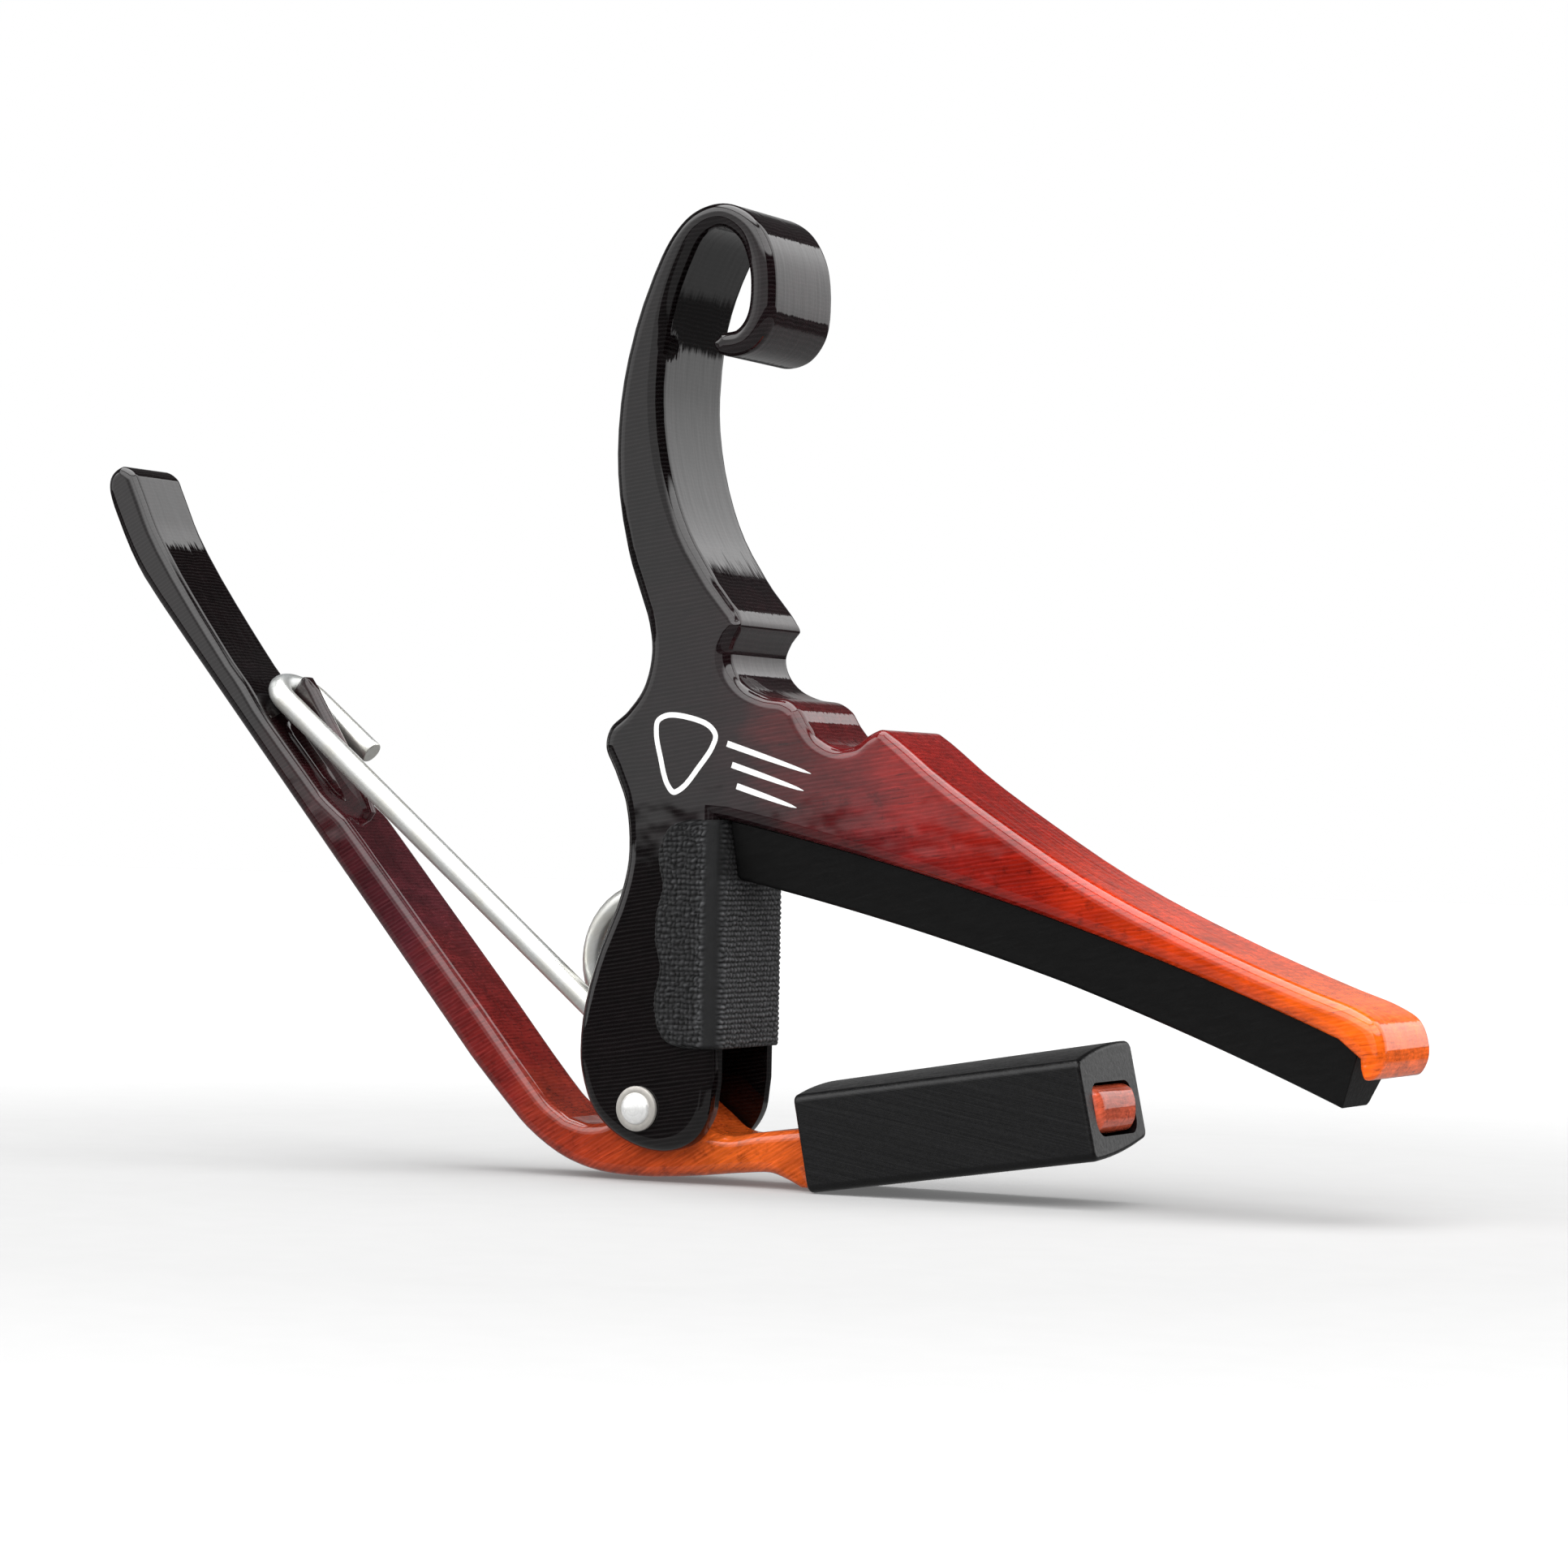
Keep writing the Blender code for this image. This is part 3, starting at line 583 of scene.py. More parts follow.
def string_pad():
    """A strip under the jaw, narrower at the string face, with a moulded radius along its lower edges."""
    count = 57
    upper = jaw_arc(PAD_GAP, count, *PAD_ENDS)
    lower = jaw_arc(PAD_GAP + PAD_THICK, count, *PAD_ENDS)
    top = PAD_TOP_WIDTH / 2
    low = PAD_STRING_WIDTH / 2
    side = [(-top, 0.0), (-top + 0.02, 0.04)]
    for k in range(1, 6):
        side.append((-top + (top - low - 0.32) * k / 5, 0.04 + 0.84 * k / 5))
    for k in range(1, 5):
        a = math.pi / 2 * k / 4
        side.append((-low - 0.32 + 0.5 * (1 - math.cos(a)), 0.88 + 0.12 * math.sin(a)))
    section = side + [(-y, k) for y, k in reversed(side)]
    rings = []
    for i in range(count):
        u = Vector((upper[i][0], 0, upper[i][1]))
        w = Vector((lower[i][0], 0, lower[i][1]))
        w += (w - u).normalized() * (PAD_GROWTH * max(i / (count - 1) - 0.55, 0.0) / 0.45)
        w.x = max(w.x, PAD_START)
        rings.append((u, w, 0.0))
    first, last = rings[0], rings[-1]
    ahead = (rings[1][0] - rings[0][0]).normalized()
    behind = (rings[-2][0] - rings[-1][0]).normalized()
    worn = ((0.0, 0.12), (0.04, 0.05), (0.12, 0.0))
    lead = [(first[0] + ahead * d, first[1] + ahead * d, inset) for d, inset in worn]
    tail = [(last[0] + behind * d, last[1] + behind * d, inset) for d, inset in reversed(worn)]
    out = []
    for u, w, inset in lead + rings[1:-1] + tail:
        ring = []
        deep = (w - u).normalized()
        for y, k in section:
            p = u.lerp(w, k)
            keep = 1 - inset / top
            if k > 0.5:
                p = p - deep * inset
            ring.append((p.x, y * keep, p.z))
        out.append(ring)
    return loft("capo_pad", out)


def boot_section(top, bottom, tilts, crowns, inset):
    """One cross-section of the sleeve between two points, its top and bottom crowned and tilted across."""
    centre = (top + bottom) / 2
    up = (top - bottom).normalized()
    half = BOOT_HALF_WIDTH - inset
    h = (top - bottom).length / 2 - inset
    corner = max(BOOT_CORNER - inset, 0.2)
    steps = 16
    across = [-half + corner + (half - corner) * 2 * i / steps for i in range(steps + 1)]
    wide = BOOT_HALF_WIDTH

    def above(y):
        return h + crowns[0] * (1 - (y / wide) ** 2) + y * math.tan(tilts[0])

    def below(y):
        return -h - crowns[1] * (1 - (y / wide) ** 2) + y * math.tan(tilts[1])

    def arc(y, n, first):
        turns = [math.radians(first - 90 * k / 5) for k in range(1, 5)]
        return [(y + corner * math.cos(a), n + corner * math.sin(a)) for a in turns]

    y1 = half - corner
    ring = [(y, above(y)) for y in across]
    ring += arc(y1, above(y1) - corner, 90) + [(half, above(y1) - corner), (half, below(y1) + corner)]
    ring += arc(y1, below(y1) + corner, 0)
    ring += [(y, below(y)) for y in across[::-1]]
    ring += arc(-y1, below(-y1) + corner, -90) + [(-half, below(-y1) + corner), (-half, above(-y1) - corner)]
    ring += arc(-y1, above(-y1) - corner, 180)
    return [(centre.x + up.x * n, y, centre.y + up.y * n) for y, n in ring]


def neck_boot():
    """A sleeve with rounded ends over the lever's arm, opened to show the arm's tip."""
    left_top, left_low = (Vector(p) for p in BOOT_LEFT)
    right_top, right_low = (Vector(p) for p in BOOT_RIGHT)
    length = (right_top - left_top).length
    lip = BOOT_LIP
    turns = [math.pi / 2 * k / 5 for k in range(6)]
    ends = [(lip * (1 - math.cos(a)), lip * (1 - math.sin(a))) for a in turns]
    places = [(d / length, inset) for d, inset in ends]
    places += [(lip / length + (1 - 2 * lip / length) * k / 14, 0.0) for k in range(1, 14)]
    places += [(1 - d / length, inset) for d, inset in reversed(ends)]
    rings = []
    for t, inset in places:
        top = left_top.lerp(right_top, t) + Vector((0.1, 0.4 + 0.15 * t))
        low = left_low.lerp(right_low, t) + Vector((0.0, 0.65 * t))
        tilts = (math.radians(BOOT_TOP_TILT[0] + BOOT_TOP_TILT[1] * t), math.radians(BOOT_LOW_TILT * t))
        rings.append(boot_section(top, low, tilts, (0.45, 0.3 * t), inset))
    obj = loft("capo_boot", rings)
    gap = BOOT_WALL_GAP
    low_a, low_b = Vector(PADDLE_LOW[0]), Vector(PADDLE_LOW[1])
    high_a, high_b = Vector(PADDLE_TOP[1]), Vector(PADDLE_TOP[0])
    low_past, high_past = (low_b - low_a) * 0.2, (high_b - high_a) * 0.2
    wall = Vector((0, gap))
    corners = [low_a - low_past - wall, low_b + low_past - wall]
    corners += [high_b + high_past + wall, high_a - high_past + wall]
    half = LEVER_WIDTH / 2 + gap
    combine(obj, slab("cut_sleeve", corners, -half, half, 1.3, 6), "DIFFERENCE")
    return obj


def cloth_cover():
    """Woven tape folded over the front edges of both ears, with shaped threads and wavy side edges."""
    inner_x = EAR_FRONT[0][0] + CLOTH_GAP
    inner_y = BODY_WIDTH / 2 + CLOTH_GAP
    r = BODY_EDGE
    bend = math.pi / 2 * r
    flat = inner_y - r
    straight = inner_x - r
    edge = catmull([Vector(p) for p in CLOTH_EDGE], 10)

    def left_at(z):
        for a, b in zip(edge, edge[1:]):
            if a.y <= z <= b.y:
                return a.x + (b.x - a.x) * (z - a.y) / max(b.y - a.y, 1e-9)
        return edge[0].x if z < edge[0].y else edge[-1].x

    def wrap(s):
        """Position and outward direction at s mm from the middle of the front, towards one side."""
        side = -1 if s < 0 else 1
        s = abs(s)
        if s < flat:
            return (inner_x, side * s), (1.0, 0.0)
        if s < flat + bend:
            c, v = math.cos((s - flat) / r), math.sin((s - flat) / r)
            return (straight + r * c, side * (flat + r * v)), (c, side * v)
        return (straight - (s - flat - bend), side * inner_y), (0.0, float(side))

    def thread(s, z):
        """Height of the weave, 0 in a gap to 1 on a crown: slanted ribs in front, plain weave at the sides."""
        wobble = 1.3 * noise.noise(Vector((1.1 * s, 1.1 * z, 0.0)))
        wobble += 0.9 * noise.noise(Vector((2.9 * s, 2.9 * z, 7.0)))
        if abs(s) < flat + bend * 0.6:
            row = abs(math.sin(math.pi * z / RIB + 0.6 * wobble)) ** 0.5
            slant = s / 0.62 + 0.55 * z / RIB + 0.31 * math.floor(z / RIB) + 0.25 * wobble
            high = row * (0.42 + 0.58 * abs(math.sin(math.pi * slant)) ** 0.6)
        else:
            warp = math.sin(math.pi * s / THREAD + 1.3 * wobble)
            weft = math.sin(math.pi * z / THREAD + 0.9 * wobble)
            over = 0.5 if warp * weft > 0 else 0.0
            warp, weft = abs(warp), abs(weft)
            high = max(warp ** 0.5 * (0.5 + over) * weft ** 0.25, weft ** 0.5 * (1.0 - over) * warp ** 0.25)
        high *= 0.9 + 0.35 * noise.noise(Vector((3.4 * s, 3.4 * z, 3.0)))
        fade = smoothstep((abs(abs(s) - (flat + bend * 0.6)) - 0.3) / 0.5)
        return 0.35 + (high - 0.35) * fade

    rows, columns = CLOTH_ROWS, CLOTH_COLUMNS
    z0, z1 = CLOTH_BOTTOM + 0.02, CLOTH_TOP
    outer, inner, crowns = [], [], []
    for j in range(rows):
        z = z0 + (z1 - z0) * j / (rows - 1)
        reach = flat + bend + straight - left_at(z)
        for i in range(columns):
            s = reach * (2 * i / (columns - 1) - 1)
            (x, y), (nx, ny) = wrap(s)
            rim = min((columns - 1 - i) / 3, i / 3, j / 3, (rows - 1 - j) / 3, 1.0)
            high = thread(s, z)
            lift = CLOTH_THICK - 0.2 + THREAD_HEIGHT * high - 0.12 * (1 - rim) + 0.15 * nx
            outer.append((x + nx * lift, y + ny * lift, z))
            inner.append((x, y, z))
            # The weave's height, lower near the tape's edges, kept for the tape's painted shade between
            # threads.
            crowns.append(high * (0.6 + 0.4 * rim))
    verts = outer + inner
    n = rows * columns
    faces = []
    for j in range(rows - 1):
        for i in range(columns - 1):
            a = j * columns + i
            b, c, d = a + 1, a + columns + 1, a + columns
            faces.append((a, b, c, d))
            faces.append((n + a, n + d, n + c, n + b))
    for i in range(columns - 1):
        top = (rows - 1) * columns + i
        faces.append((i, n + i, n + i + 1, i + 1))
        faces.append((top, top + 1, n + top + 1, n + top))
    for j in range(rows - 1):
        a = j * columns
        b = a + columns - 1
        faces.append((a, a + columns, n + a + columns, n + a))
        faces.append((b, n + b, n + b + columns, b + columns))
    obj = mesh_object("capo_tape", verts, faces)
    crown = obj.data.attributes.new("crown", "FLOAT", "POINT")
    crown.data.foreach_set("value", crowns + [0.0] * len(inner))
    return obj


def closed_spline(points, steps=8):
    """A closed spline through the points."""
    return catmull(list(points[-2:]) + list(points) + list(points[:2]), steps)[2 * steps:-(steps + 1)]


def ink_line(name, loop, width, centre, tilt):
    """A flat band of ink along a closed loop on the near side face, or its filled inside at a width of 0."""
    turn = Matrix.Rotation(math.radians(tilt), 2)
    face, back = -BODY_WIDTH / 2 - INK_DEPTH, -BODY_WIDTH / 2 + 0.05
    if area(loop) < 0:
        loop = loop[::-1]
    inner = [p + n * width for p, n in zip(loop, inward_normals(loop))]

    def ring(points, y):
        placed = [Vector(centre) + turn @ p for p in points]
        return [(p.x, y, p.y) for p in placed]

    if width:
        rings = [ring(loop, back), ring(loop, face), ring(inner, face), ring(inner, back)]
        return loft(name, rings, closed=True)
    return loft(name, [ring(loop, back), ring(loop, face)])


def plectrum_mark():
    """A plain plectrum outline with three tapered strings beside it, in pale ink on the stem's near side."""
    right = [(0.95, -3.05), (2.15, -0.9), (3.0, 1.0), (3.1, 2.2), (2.2, 3.0)]
    pick = [(0, -3.7), *right, (0, 3.3), *[(-x, y) for x, y in reversed(right)]]
    loop = closed_spline([Vector(p) for p in pick])
    parts = [ink_line("pale_mark", loop, MARK_LINE, MARK_PLACE, MARK_TILT)]
    for k, (length, drop) in enumerate(STRINGS):
        place = (STRINGS_PLACE[0] + 0.5 * k, STRINGS_PLACE[1] + drop - 0.4 * k)
        half = [(length * i / 12, 0.24 * math.sqrt(max(1 - (i / 12) ** 2, 0.0)) + 0.02) for i in range(13)]
        loop = [Vector((x, y)) for x, y in half] + [Vector((x, -y)) for x, y in reversed(half)]
        parts.append(ink_line("string_%d" % k, loop, 0, place, STRINGS_TILT))
    target = parts[0]
    for other in parts[1:]:
        bm = bmesh.new()
        bm.from_mesh(target.data)
        bm.from_mesh(other.data)
        bm.to_mesh(target.data)
        bm.free()
        bpy.data.objects.remove(other, do_unlink=True)
    return target


# ---------------------------------------------------------------- materials


class Nodes:
    """A small helper for writing node trees as expressions."""

    def __init__(self, tree):
        self.tree = tree

    def add(self, kind, **settings):
        node = self.tree.nodes.new(kind)
        for key, value in settings.items():
            setattr(node, key, value)
        return node

    def put(self, socket, value):
        if isinstance(value, bpy.types.NodeSocket):
            self.tree.links.new(value, socket)
        else:
            socket.default_value = value

    def math(self, operation, *values):
        node = self.add("ShaderNodeMath", operation=operation)
        for i, value in enumerate(values):
            self.put(node.inputs[i], value)
        return node.outputs[0]

    def step(self, value, low, high):
        """0 below low, 1 above high, smooth between."""
        node = self.add("ShaderNodeMapRange", interpolation_type="SMOOTHSTEP", clamp=True)
        for i, v in enumerate((value, low, high, 0.0, 1.0)):
            self.put(node.inputs[i], v)
        return node.outputs[0]

    def remap(self, value, low, high, out_low, out_high):
        node = self.add("ShaderNodeMapRange", clamp=True)
        for i, v in enumerate((value, low, high, out_low, out_high)):
            self.put(node.inputs[i], v)
        return node.outputs[0]

    def place(self):
        """The point in the row frame, in millimetres from the rivet."""
        at = self.add("ShaderNodeTexCoord").outputs["Object"]
        node = self.add("ShaderNodeVectorMath", operation="MULTIPLY_ADD")
        self.put(node.inputs[0], at)
        node.inputs[1].default_value = (1000.0, 1000.0, 1000.0)
        node.inputs[2].default_value = (-PIVOT_X, 0.0, -PIVOT_Z)
        return node.outputs[0]

    def parts(self, vector):
        node = self.add("ShaderNodeSeparateXYZ")
        self.put(node.inputs[0], vector)
        return node.outputs

    def join(self, x, y, z):
        node = self.add("ShaderNodeCombineXYZ")
        for i, v in enumerate((x, y, z)):
            self.put(node.inputs[i], v)
        return node.outputs[0]

    def turned(self, vector, degrees):
        """The point turned about Y, so that X runs along a line that climbs by that angle."""
        node = self.add("ShaderNodeVectorRotate", rotation_type="Y_AXIS")
        self.put(node.inputs["Vector"], vector)
        node.inputs["Angle"].default_value = math.radians(degrees)
        return node.outputs[0]

    def scaled(self, vector, factors):
        node = self.add("ShaderNodeVectorMath", operation="MULTIPLY")
        self.put(node.inputs[0], vector)
        node.inputs[1].default_value = factors
        return node.outputs[0]

    def noise(self, vector, scale=1.0, detail=2.0, roughness=0.5, distortion=0.0):
        node = self.add("ShaderNodeTexNoise")
        self.put(node.inputs["Vector"], vector)
        node.inputs["Scale"].default_value = scale
        node.inputs["Detail"].default_value = detail
        node.inputs["Roughness"].default_value = roughness
        node.inputs["Distortion"].default_value = distortion
        return node.outputs[0]

    def ramp(self, value, stops):
        """A colour ramp over the span of the stops."""
        low, high = stops[0][0], stops[-1][0]
        node = self.add("ShaderNodeValToRGB")
        self.put(node.inputs[0], self.remap(value, low, high, 0.0, 1.0))
        elements = node.color_ramp.elements
        elements[0].position = 0.0
        elements[1].position = 1.0
        elements[0].color = (*stops[0][1], 1.0)
        elements[1].color = (*stops[-1][1], 1.0)
        for at, colour in stops[1:-1]:
            elements.new((at - low) / (high - low)).color = (*colour, 1.0)
        return node.outputs[0]

    def mix(self, factor, a, b, blend="MIX"):
        node = self.add("ShaderNodeMix", data_type="RGBA", blend_type=blend)
        self.put(node.inputs[0], factor)
        self.put(node.inputs[6], a)
        self.put(node.inputs[7], b)
        return node.outputs[2]

    def mix_value(self, factor, first, second):
        """first where the factor is 0, second where it is 1."""
        return self.math("ADD", self.math("MULTIPLY", first, self.math("SUBTRACT", 1.0, factor)),
                         self.math("MULTIPLY", second, factor))

    def grey(self, value):
        node = self.add("ShaderNodeCombineColor")
        for i in range(3):
            self.put(node.inputs[i], value)
        return node.outputs[0]

    def times(self, *values):
        made = values[0]
        for value in values[1:]:
            made = self.math("MULTIPLY", made, value)
        return made

    def total(self, *values):
        made = values[0]
        for value in values[1:]:
            made = self.math("ADD", made, value)
        return made

    def less(self, value):
        """1 minus the value."""
        return self.math("SUBTRACT", 1.0, value)

    def within(self, value, low, high, soft):
        """1 between low and high, 0 outside, with soft edges."""
        above = self.step(value, low - soft, low + soft)
        return self.times(above, self.less(self.step(value, high - soft, high + soft)))

    def bump(self, height, distance):
        """The height is in units of the distance, which is in metres."""
        node = self.add("ShaderNodeBump")
        node.inputs["Strength"].default_value = 1.0
        node.inputs["Distance"].default_value = distance
        self.put(node.inputs["Height"], height)
        return node.outputs[0]


def principled(name, **values):
    """A material, its node helper and its shader's inputs, with the given inputs set."""
    mat = bpy.data.materials.new(name)
    mat.use_nodes = True
    shader = mat.node_tree.nodes["Principled BSDF"]
    for key, value in values.items():
        shader.inputs[key.replace("_", " ")].default_value = value
    return mat, Nodes(mat.node_tree), shader.inputs


def lacquer(name, stops, along, grain_tilt):
    """Gloss lacquer over a printed fade with fine grain lines. along gives the fade's place from x and z."""
    mat, n, out = principled(name, Roughness=0.42, Coat_Weight=1.0, Coat_Roughness=0.025, Coat_IOR=1.5,
                             Specular_IOR_Level=0.0)
    at = n.place()
    x, _, z = n.parts(at)
    grain = n.turned(at, grain_tilt)
    wander = n.math("MULTIPLY_ADD", n.noise(n.scaled(grain, (0.16, 0.2, 0.5)), detail=2), 5.0, -2.5)
    colour = n.ramp(n.math("ADD", along(n, x, z), wander), stops)
    bands = n.noise(n.scaled(grain, (0.11, 0.6, 2.4)), detail=5, roughness=0.62, distortion=0.25)
    lines = n.noise(n.scaled(grain, (0.35, 1.2, 6.5)), detail=2)
    pores = n.noise(n.scaled(grain, (0.5, 1.6, 7.5)), scale=0.8, detail=3, roughness=0.6)
    knots = n.noise(n.scaled(grain, (0.22, 0.35, 0.45)), detail=3, roughness=0.55)
    climb = n.parts(grain)[2]
    drift = n.noise(n.scaled(grain, (0.09, 0.3, 0.35)), detail=2)
    fine = n.math("SINE", n.math("MULTIPLY_ADD", climb, 2 * math.pi / LINE_PITCH, n.times(drift, 12.0)))
    weave = n.noise(n.scaled(grain, (0.9, 2.0, 4.0)), detail=4, roughness=0.7)
    spots = n.noise(n.scaled(at, (0.75, 0.9, 0.75)), detail=5, roughness=0.7)
    shade = n.math("MULTIPLY", n.remap(bands, 0.3, 0.7, 0.8, 1.2), n.remap(lines, 0.32, 0.68, 0.88, 1.12))
    shade = n.math("MULTIPLY", shade, n.remap(fine, -1.0, 1.0, 0.94, 1.06))
    shade = n.math("MULTIPLY", shade, n.remap(weave, 0.3, 0.7, 0.80, 1.20))
    shade = n.math("MULTIPLY", shade, n.remap(spots, 0.56, 0.72, 1.03, 0.55))
    shade = n.math("MULTIPLY", shade, n.remap(knots, 0.35, 0.7, 1.1, 0.74))
    colour = n.mix(1.0, colour, n.grey(shade), "MULTIPLY")
    dark = n.mix(1.0, colour, (0.42, 0.30, 0.30, 1.0), "MULTIPLY")
    colour = n.mix(n.math("MULTIPLY", n.step(pores, 0.60, 0.70), 0.75), colour, dark)
    pale_lines = n.times(n.remap(fine, -0.2, 1.0, 0.0, 0.006), n.remap(weave, 0.3, 0.7, 0.5, 1.3))
    colour = n.mix(1.0, colour, n.grey(pale_lines), "ADD")
    n.put(out["Base Color"], colour)
    ripple = n.noise(n.scaled(at, (0.42, 0.42, 0.42)), detail=1)
    comb = n.noise(n.scaled(at, (0.05, 1.3, 0.16)), detail=2)
    height = n.total(n.times(ripple, 0.45), comb)
    normal = n.bump(height, 0.000022)
    n.put(out["Normal"], normal)
    n.put(out["Coat Normal"], normal)
    return mat


def body_lacquer():
    """The fade runs along the jaw, and up the stem it turns darker."""

    def along(n, x, z):
        low = n.math("MINIMUM", z, 32.0)
        high = n.math("MAXIMUM", n.math("SUBTRACT", z, 32.0), 0.0)
        return n.math("ADD", x, n.math("MULTIPLY_ADD", low, 0.35, n.math("MULTIPLY", high, -0.15)))

    return lacquer("body_lacquer", BODY_FADE, along, 9.0)


def lever_lacquer():
    """The fade runs from the handle's dark end to the arm."""
    return lacquer("lever_lacquer", LEVER_FADE, lambda n, x, z: x, 30.0)


def zinc_wire():
    """Drawn wire with a zinc finish, a little blue where it is bent round the fin."""
    mat, n, out = principled("zinc_wire", Metallic=0.8)
    at = n.place()
    drawn = n.turned(at, 29.0)
    streaks = n.noise(n.scaled(drawn, (0.12, 3.2, 3.2)), detail=3, roughness=0.6)
    patches = n.noise(n.scaled(at, (0.35, 0.5, 0.35)), detail=3)
    colour = n.mix(n.step(patches, 0.35, 0.65), (0.68, 0.69, 0.675, 1.0), (0.64, 0.635, 0.59, 1.0))
    x, _, z = n.parts(at)
    bend = n.step(n.math("SUBTRACT", z, x), 75.0, 79.0)
    colour = n.mix(n.math("MULTIPLY", bend, 0.35), colour, (0.36, 0.43, 0.52, 1.0))
    shade = n.remap(streaks, 0.3, 0.6, 0.9, 1.0)
    n.put(out["Base Color"], n.mix(1.0, colour, n.grey(shade), "MULTIPLY"))
    n.put(out["Roughness"], n.remap(streaks, 0.3, 0.7, 0.38, 0.28))
    n.put(out["Normal"], n.bump(streaks, 0.000005))
    return mat


def nickel_steel():
    """A bright dome on a duller rim, with fine turned rings and pits."""
    mat, n, out = principled("nickel_steel", Metallic=0.5)
    at = n.place()
    x, y, z = n.parts(at)
    radius = n.math("SQRT", n.math("ADD", n.math("MULTIPLY", x, x), n.math("MULTIPLY", z, z)))
    turned = n.noise(n.join(n.math("MULTIPLY", radius, 9.0), n.math("MULTIPLY", y, 4.0), 0.0), detail=2)
    pits = n.noise(n.scaled(at, (2.6, 2.6, 2.6)), detail=4, roughness=0.65)
    rim = n.step(radius, 1.28, 1.42)
    colour = n.mix(rim, (0.93, 0.93, 0.92, 1.0), (0.44, 0.42, 0.39, 1.0))
    shade = n.math("MULTIPLY", n.remap(turned, 0.3, 0.7, 0.9, 1.05), n.remap(pits, 0.35, 0.7, 1.02, 0.86))
    n.put(out["Base Color"], n.mix(1.0, colour, n.grey(shade), "MULTIPLY"))
    n.put(out["Roughness"], n.total(n.remap(rim, 0.0, 1.0, 0.22, 0.42), n.remap(pits, 0.3, 0.7, -0.03, 0.06)))
    n.put(out["Normal"], n.bump(n.math("ADD", turned, pits), 0.00001))
    return mat


def rubber(name, base, roughness, specular, tilt):
    """Moulded rubber: lengthwise tool lines, a faint bloom and small scuffs."""
    mat, n, out = principled(name, Specular_IOR_Level=specular)
    at = n.turned(n.place(), tilt)
    lines = n.noise(n.scaled(at, (0.05, 2.2, 2.2)), detail=3, roughness=0.6)
    skin = n.noise(n.scaled(at, (3.5, 3.5, 3.5)), detail=3, roughness=0.6)
    scuffs = n.noise(n.scaled(at, (0.16, 1.7, 5.0)), detail=4, roughness=0.65)
    marks = n.step(scuffs, 0.60, 0.72)
    tone = n.math("MULTIPLY", n.remap(lines, 0.3, 0.7, 0.85, 1.2), n.remap(skin, 0.3, 0.7, 0.9, 1.1))
    tone = n.math("MULTIPLY", tone, n.remap(marks, 0.0, 1.0, 1.0, 1.55))
    n.put(out["Base Color"], n.mix(1.0, (*base, 1.0), n.grey(tone), "MULTIPLY"))
    n.put(out["Roughness"], n.math("ADD", n.remap(skin, 0.3, 0.7, roughness - 0.05, roughness + 0.05),
                                   n.remap(lines, 0.3, 0.7, -0.04, 0.05)))
    height = n.math("ADD", n.math("MULTIPLY", lines, 1.6), n.math("MULTIPLY", skin, 0.5))
    n.put(out["Normal"], n.bump(height, 0.00002))
    return mat


def black_tape():
    """Matt woven tape: each thread has fibres, and the gaps between threads are painted darker than the crowns
    as shade.
    """
    mat, n, out = principled("black_tape", Specular_IOR_Level=0.2, Sheen_Weight=0.06, Sheen_Roughness=0.5)
    at = n.place()
    fibres = n.noise(n.scaled(at, (9.0, 9.0, 9.0)), detail=3, roughness=0.7)
    clumps = n.noise(n.scaled(at, (1.3, 1.3, 1.1)), detail=3)
    x, _, z = n.parts(at)
    crown = n.add("ShaderNodeAttribute", attribute_name="crown").outputs["Fac"]
    front = n.step(x, 7.1, 7.3)
    # Painted shade: the front of the tape darkened near its top, in the corner under the jaw beside the pad.
    painted_jaw_shade = n.math("MULTIPLY", front, n.step(z, 19.0, 20.5))
    tone = n.math("MULTIPLY", n.remap(fibres, 0.3, 0.7, 0.75, 1.3), n.remap(clumps, 0.3, 0.7, 0.82, 1.18))
    tone = n.math("MULTIPLY", tone, n.remap(painted_jaw_shade, 0.0, 1.0, 1.0, 0.3))
    # Painted shade: darker where the weave is low, in the gaps between threads and near the tape's edges.
    tone = n.math("MULTIPLY", tone, n.math("POWER", crown, 2.6))
    # Painted light: the tape's front and fold made lighter and its side faces darker, as the light falls on
    # them.
    tone = n.math("MULTIPLY", tone, n.remap(x, 5.4, 6.9, 0.55, 2.0))
    tone = n.grey(n.math("ADD", tone, 0.05))
    n.put(out["Base Color"], n.mix(1.0, (0.070, 0.071, 0.074, 1.0), tone, "MULTIPLY"))
    n.put(out["Roughness"], n.remap(fibres, 0.3, 0.7, 0.78, 0.95))
    n.put(out["Normal"], n.bump(fibres, 0.00004))
    return mat


def pale_ink():
    """Opaque printed ink, slightly uneven, under the gloss."""
    mat, n, out = principled("pale_ink", Coat_Weight=0.6, Coat_Roughness=0.05)
    speck = n.noise(n.scaled(n.place(), (4.0, 4.0, 4.0)), detail=3)
    colour = n.mix(n.step(speck, 0.35, 0.7), (0.86, 0.86, 0.85, 1.0), (0.78, 0.78, 0.77, 1.0))
    n.put(out["Base Color"], colour)
    n.put(out["Roughness"], n.remap(speck, 0.3, 0.7, 0.3, 0.42))
    return mat


def table_top():
    """Matt paper with painted light: it glows, faintly near the piece, which lightens its cast shadow, and
    more strongly further off.
    """
    mat, n, out = principled("table_top", Roughness=0.9, Specular_IOR_Level=0.1,
                             Emission_Color=(1.0, 1.0, 1.0, 1.0))
    at = n.add("ShaderNodeTexCoord").outputs["Object"]
    fine = n.noise(at, scale=240.0, detail=3)
    n.put(out["Base Color"], n.mix(fine, (0.325, 0.325, 0.325, 1.0), (0.345, 0.345, 0.345, 1.0)))
    x, y, _ = n.parts(at)
    reach = n.math("SQRT", n.total(n.times(x, x), n.times(y, y)))
    # Painted light: a glow that lightens the shadow near the piece and grows stronger away from it.
    n.put(out["Emission Strength"], n.remap(reach, 0.09, 0.26, 0.125, 0.42))
    return mat


# ---------------------------------------------------------------- camera, light and floor


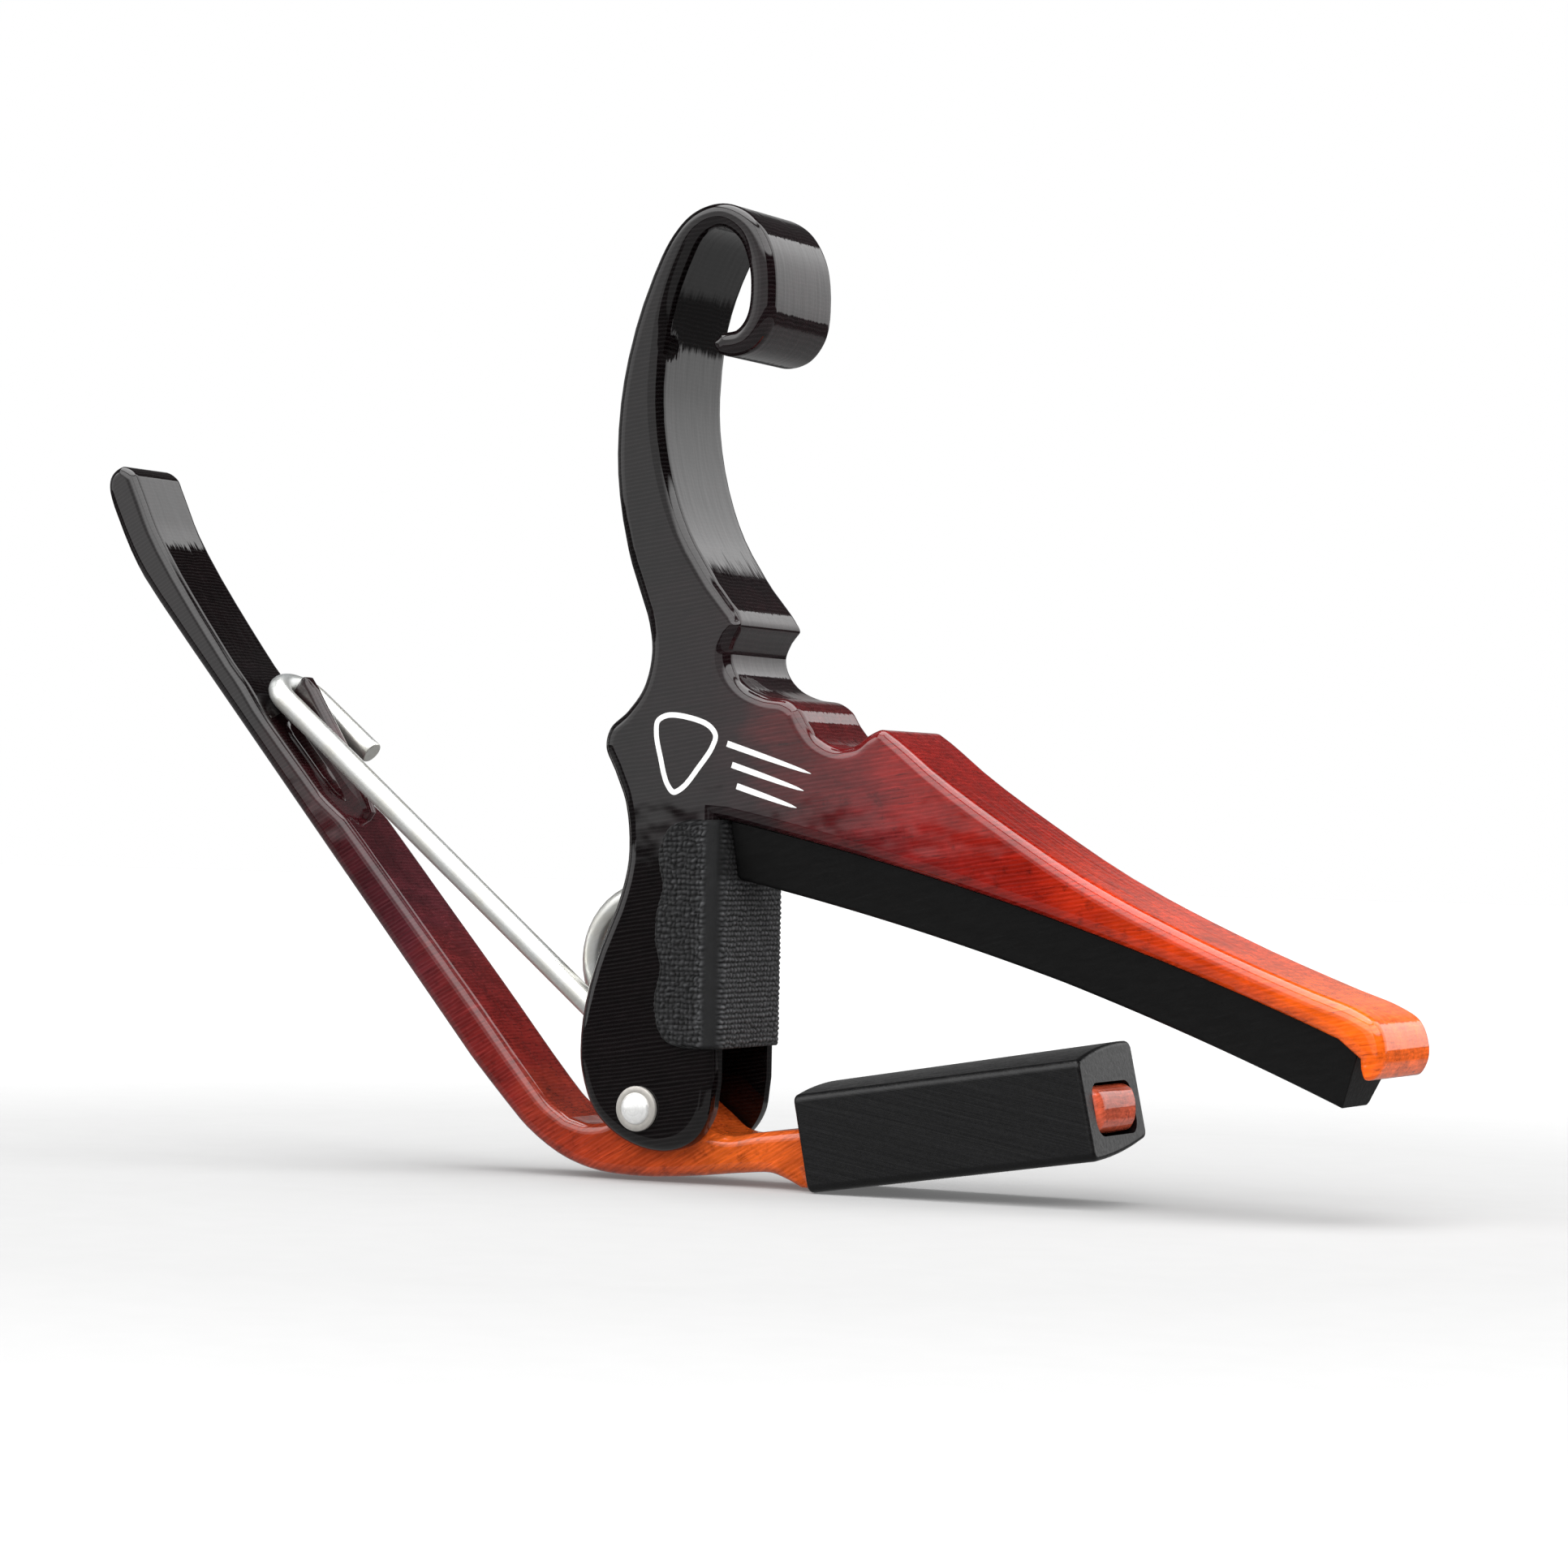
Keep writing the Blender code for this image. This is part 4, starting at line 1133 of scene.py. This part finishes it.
def add_camera():
    camera = bpy.data.objects.new("camera", bpy.data.cameras.new("camera"))
    camera.data.sensor_width = 36.0
    camera.data.lens = CAMERA_LENS
    camera.data.clip_start = 0.01
    camera.data.clip_end = 20.0
    turn = Matrix([Vector(axis) for axis in CAMERA_AXES]).transposed()
    camera.matrix_world = Matrix.Translation(CAMERA_PLACE) @ turn.to_4x4()
    bpy.context.scene.collection.objects.link(camera)
    bpy.context.scene.camera = camera
    bpy.context.scene.view_settings.view_transform = "Standard"


def add_floor():
    verts = [(-1.6, -0.25, 0), (1.6, -0.25, 0), (1.6, 1.8, 0), (-1.6, 1.8, 0)]
    mesh = bpy.data.meshes.new("floor")
    mesh.from_pydata(verts, [], [(0, 1, 2, 3)])
    floor = bpy.data.objects.new("floor", mesh)
    bpy.context.scene.collection.objects.link(floor)
    mesh.materials.append(table_top())
    floor.visible_glossy = False


def studio_light(n):
    """Strength of the light from each direction, from its height and its way round the studio in degrees."""
    x, y, z = n.parts(n.add("ShaderNodeTexCoord").outputs["Generated"])
    rise = n.times(n.math("ARCSINE", z), 180 / math.pi)
    way = n.times(n.math("ARCTAN2", x, y), 180 / math.pi)

    # A tall soft box at the back right, its top edge rising to the right.
    top = n.math("MULTIPLY_ADD", n.math("MAXIMUM", n.math("SUBTRACT", way, 8.0), 0.0), 1.1, 27.0)
    box = n.times(n.step(rise, -0.4, 0.4), n.less(n.step(n.math("SUBTRACT", rise, top), -0.6, 0.6)),
                  n.within(way, *BOX_WAY, 1.5), n.math("MULTIPLY_ADD", rise, 0.03, BOX_LIGHT))

    # Dim walls at the back left and left.
    wall = n.times(n.within(rise, 0.0, 40.0, 0.4), n.within(way, *WALL_WAY, 1.5),
                   n.remap(rise, 17.0, 22.0, WALL_LIGHT, 0.04))

    # A wide front, dim below and bright above, and a high panel at the right.
    from_way, to_way = FRONT_WAY
    behind = n.step(way, from_way - 2, from_way + 2)
    around = n.math("MAXIMUM", n.less(n.step(way, to_way - 4, to_way + 4)), behind)
    low = n.mix_value(behind, n.remap(way, -158.0, -143.0, 0.76, 1.38), 0.76)
    front = n.times(n.within(rise, 0.0, 56.0, 0.35), around,
                    n.mix_value(n.step(rise, 16.0, 30.0), low, FRONT_LIGHT))
    side = n.times(n.within(rise, 28.0, 56.0, 2.0), n.within(way, *SIDE_WAY, 3.0), SIDE_LIGHT)

    # The table below the horizon, dark towards it, and a ceiling panel.
    lit = n.mix_value(n.step(way, to_way, to_way + 8), n.step(rise, -6.5, -5.0), n.step(rise, -13.0, -10.0))
    table = n.times(n.less(n.step(rise, -0.4, 0.2)), n.mix_value(lit, TABLE_LIGHT, TABLE_SHADE))
    ceiling = n.times(n.step(rise, 58.0, 66.0), CEILING_LIGHT)
    return n.total(box, wall, front, side, table, ceiling, 0.02)


def studio():
    """The camera, the floor and the studio's light, with a white background behind."""
    add_camera()
    add_floor()
    world = bpy.data.worlds.new("studio")
    bpy.context.scene.world = world
    world.use_nodes = True
    n = Nodes(world.node_tree)
    shader = world.node_tree.nodes["Background"]
    shader.inputs["Color"].default_value = (1.0, 1.0, 1.0, 1.0)
    seen = n.add("ShaderNodeLightPath").outputs["Is Camera Ray"]
    n.put(shader.inputs["Strength"], n.total(seen, n.times(n.less(seen), studio_light(n))))


# ---------------------------------------------------------------- the scene

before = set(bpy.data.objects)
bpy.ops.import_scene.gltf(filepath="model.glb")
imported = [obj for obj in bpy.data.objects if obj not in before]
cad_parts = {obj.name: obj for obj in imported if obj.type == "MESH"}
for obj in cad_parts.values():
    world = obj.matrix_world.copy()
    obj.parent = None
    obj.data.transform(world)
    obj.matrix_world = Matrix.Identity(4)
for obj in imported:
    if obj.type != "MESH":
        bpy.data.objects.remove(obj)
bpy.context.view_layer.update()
studio()

body = finished(upper_body(), body_lacquer(), "body", "sunburst_lacquer", "upper_body")
smooth(body)
lever = finished(lever_arm(), lever_lacquer(), "lever", "sunburst_lacquer", "lever_arm")
smooth(lever)
rivet = finished(pivot_rivet(), nickel_steel(), "body", "nickel_steel", "pivot_rivet")
smooth(rivet, 30.0)
pad_rubber = rubber("pad_rubber", (0.0052, 0.0052, 0.0052), 0.5, 0.15, 15.0)
pad = finished(string_pad(), pad_rubber, "body", "black_rubber", "string_pad")
smooth(pad)
boot_rubber = rubber("boot_rubber", (0.0042, 0.0042, 0.0045), 0.34, 0.26, -10.0)
boot = finished(neck_boot(), boot_rubber, "lever", "black_rubber", "neck_boot")
smooth(boot)
tape = finished(cloth_cover(), black_tape(), "body", "black_tape", "cloth_cover")
tape.data.shade_smooth()
finished(plectrum_mark(), pale_ink(), "body", None)
spring = finished(torsion_spring(), zinc_wire(), None, "zinc_wire", "torsion_spring")
smooth(spring, 50.0)
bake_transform(spring)
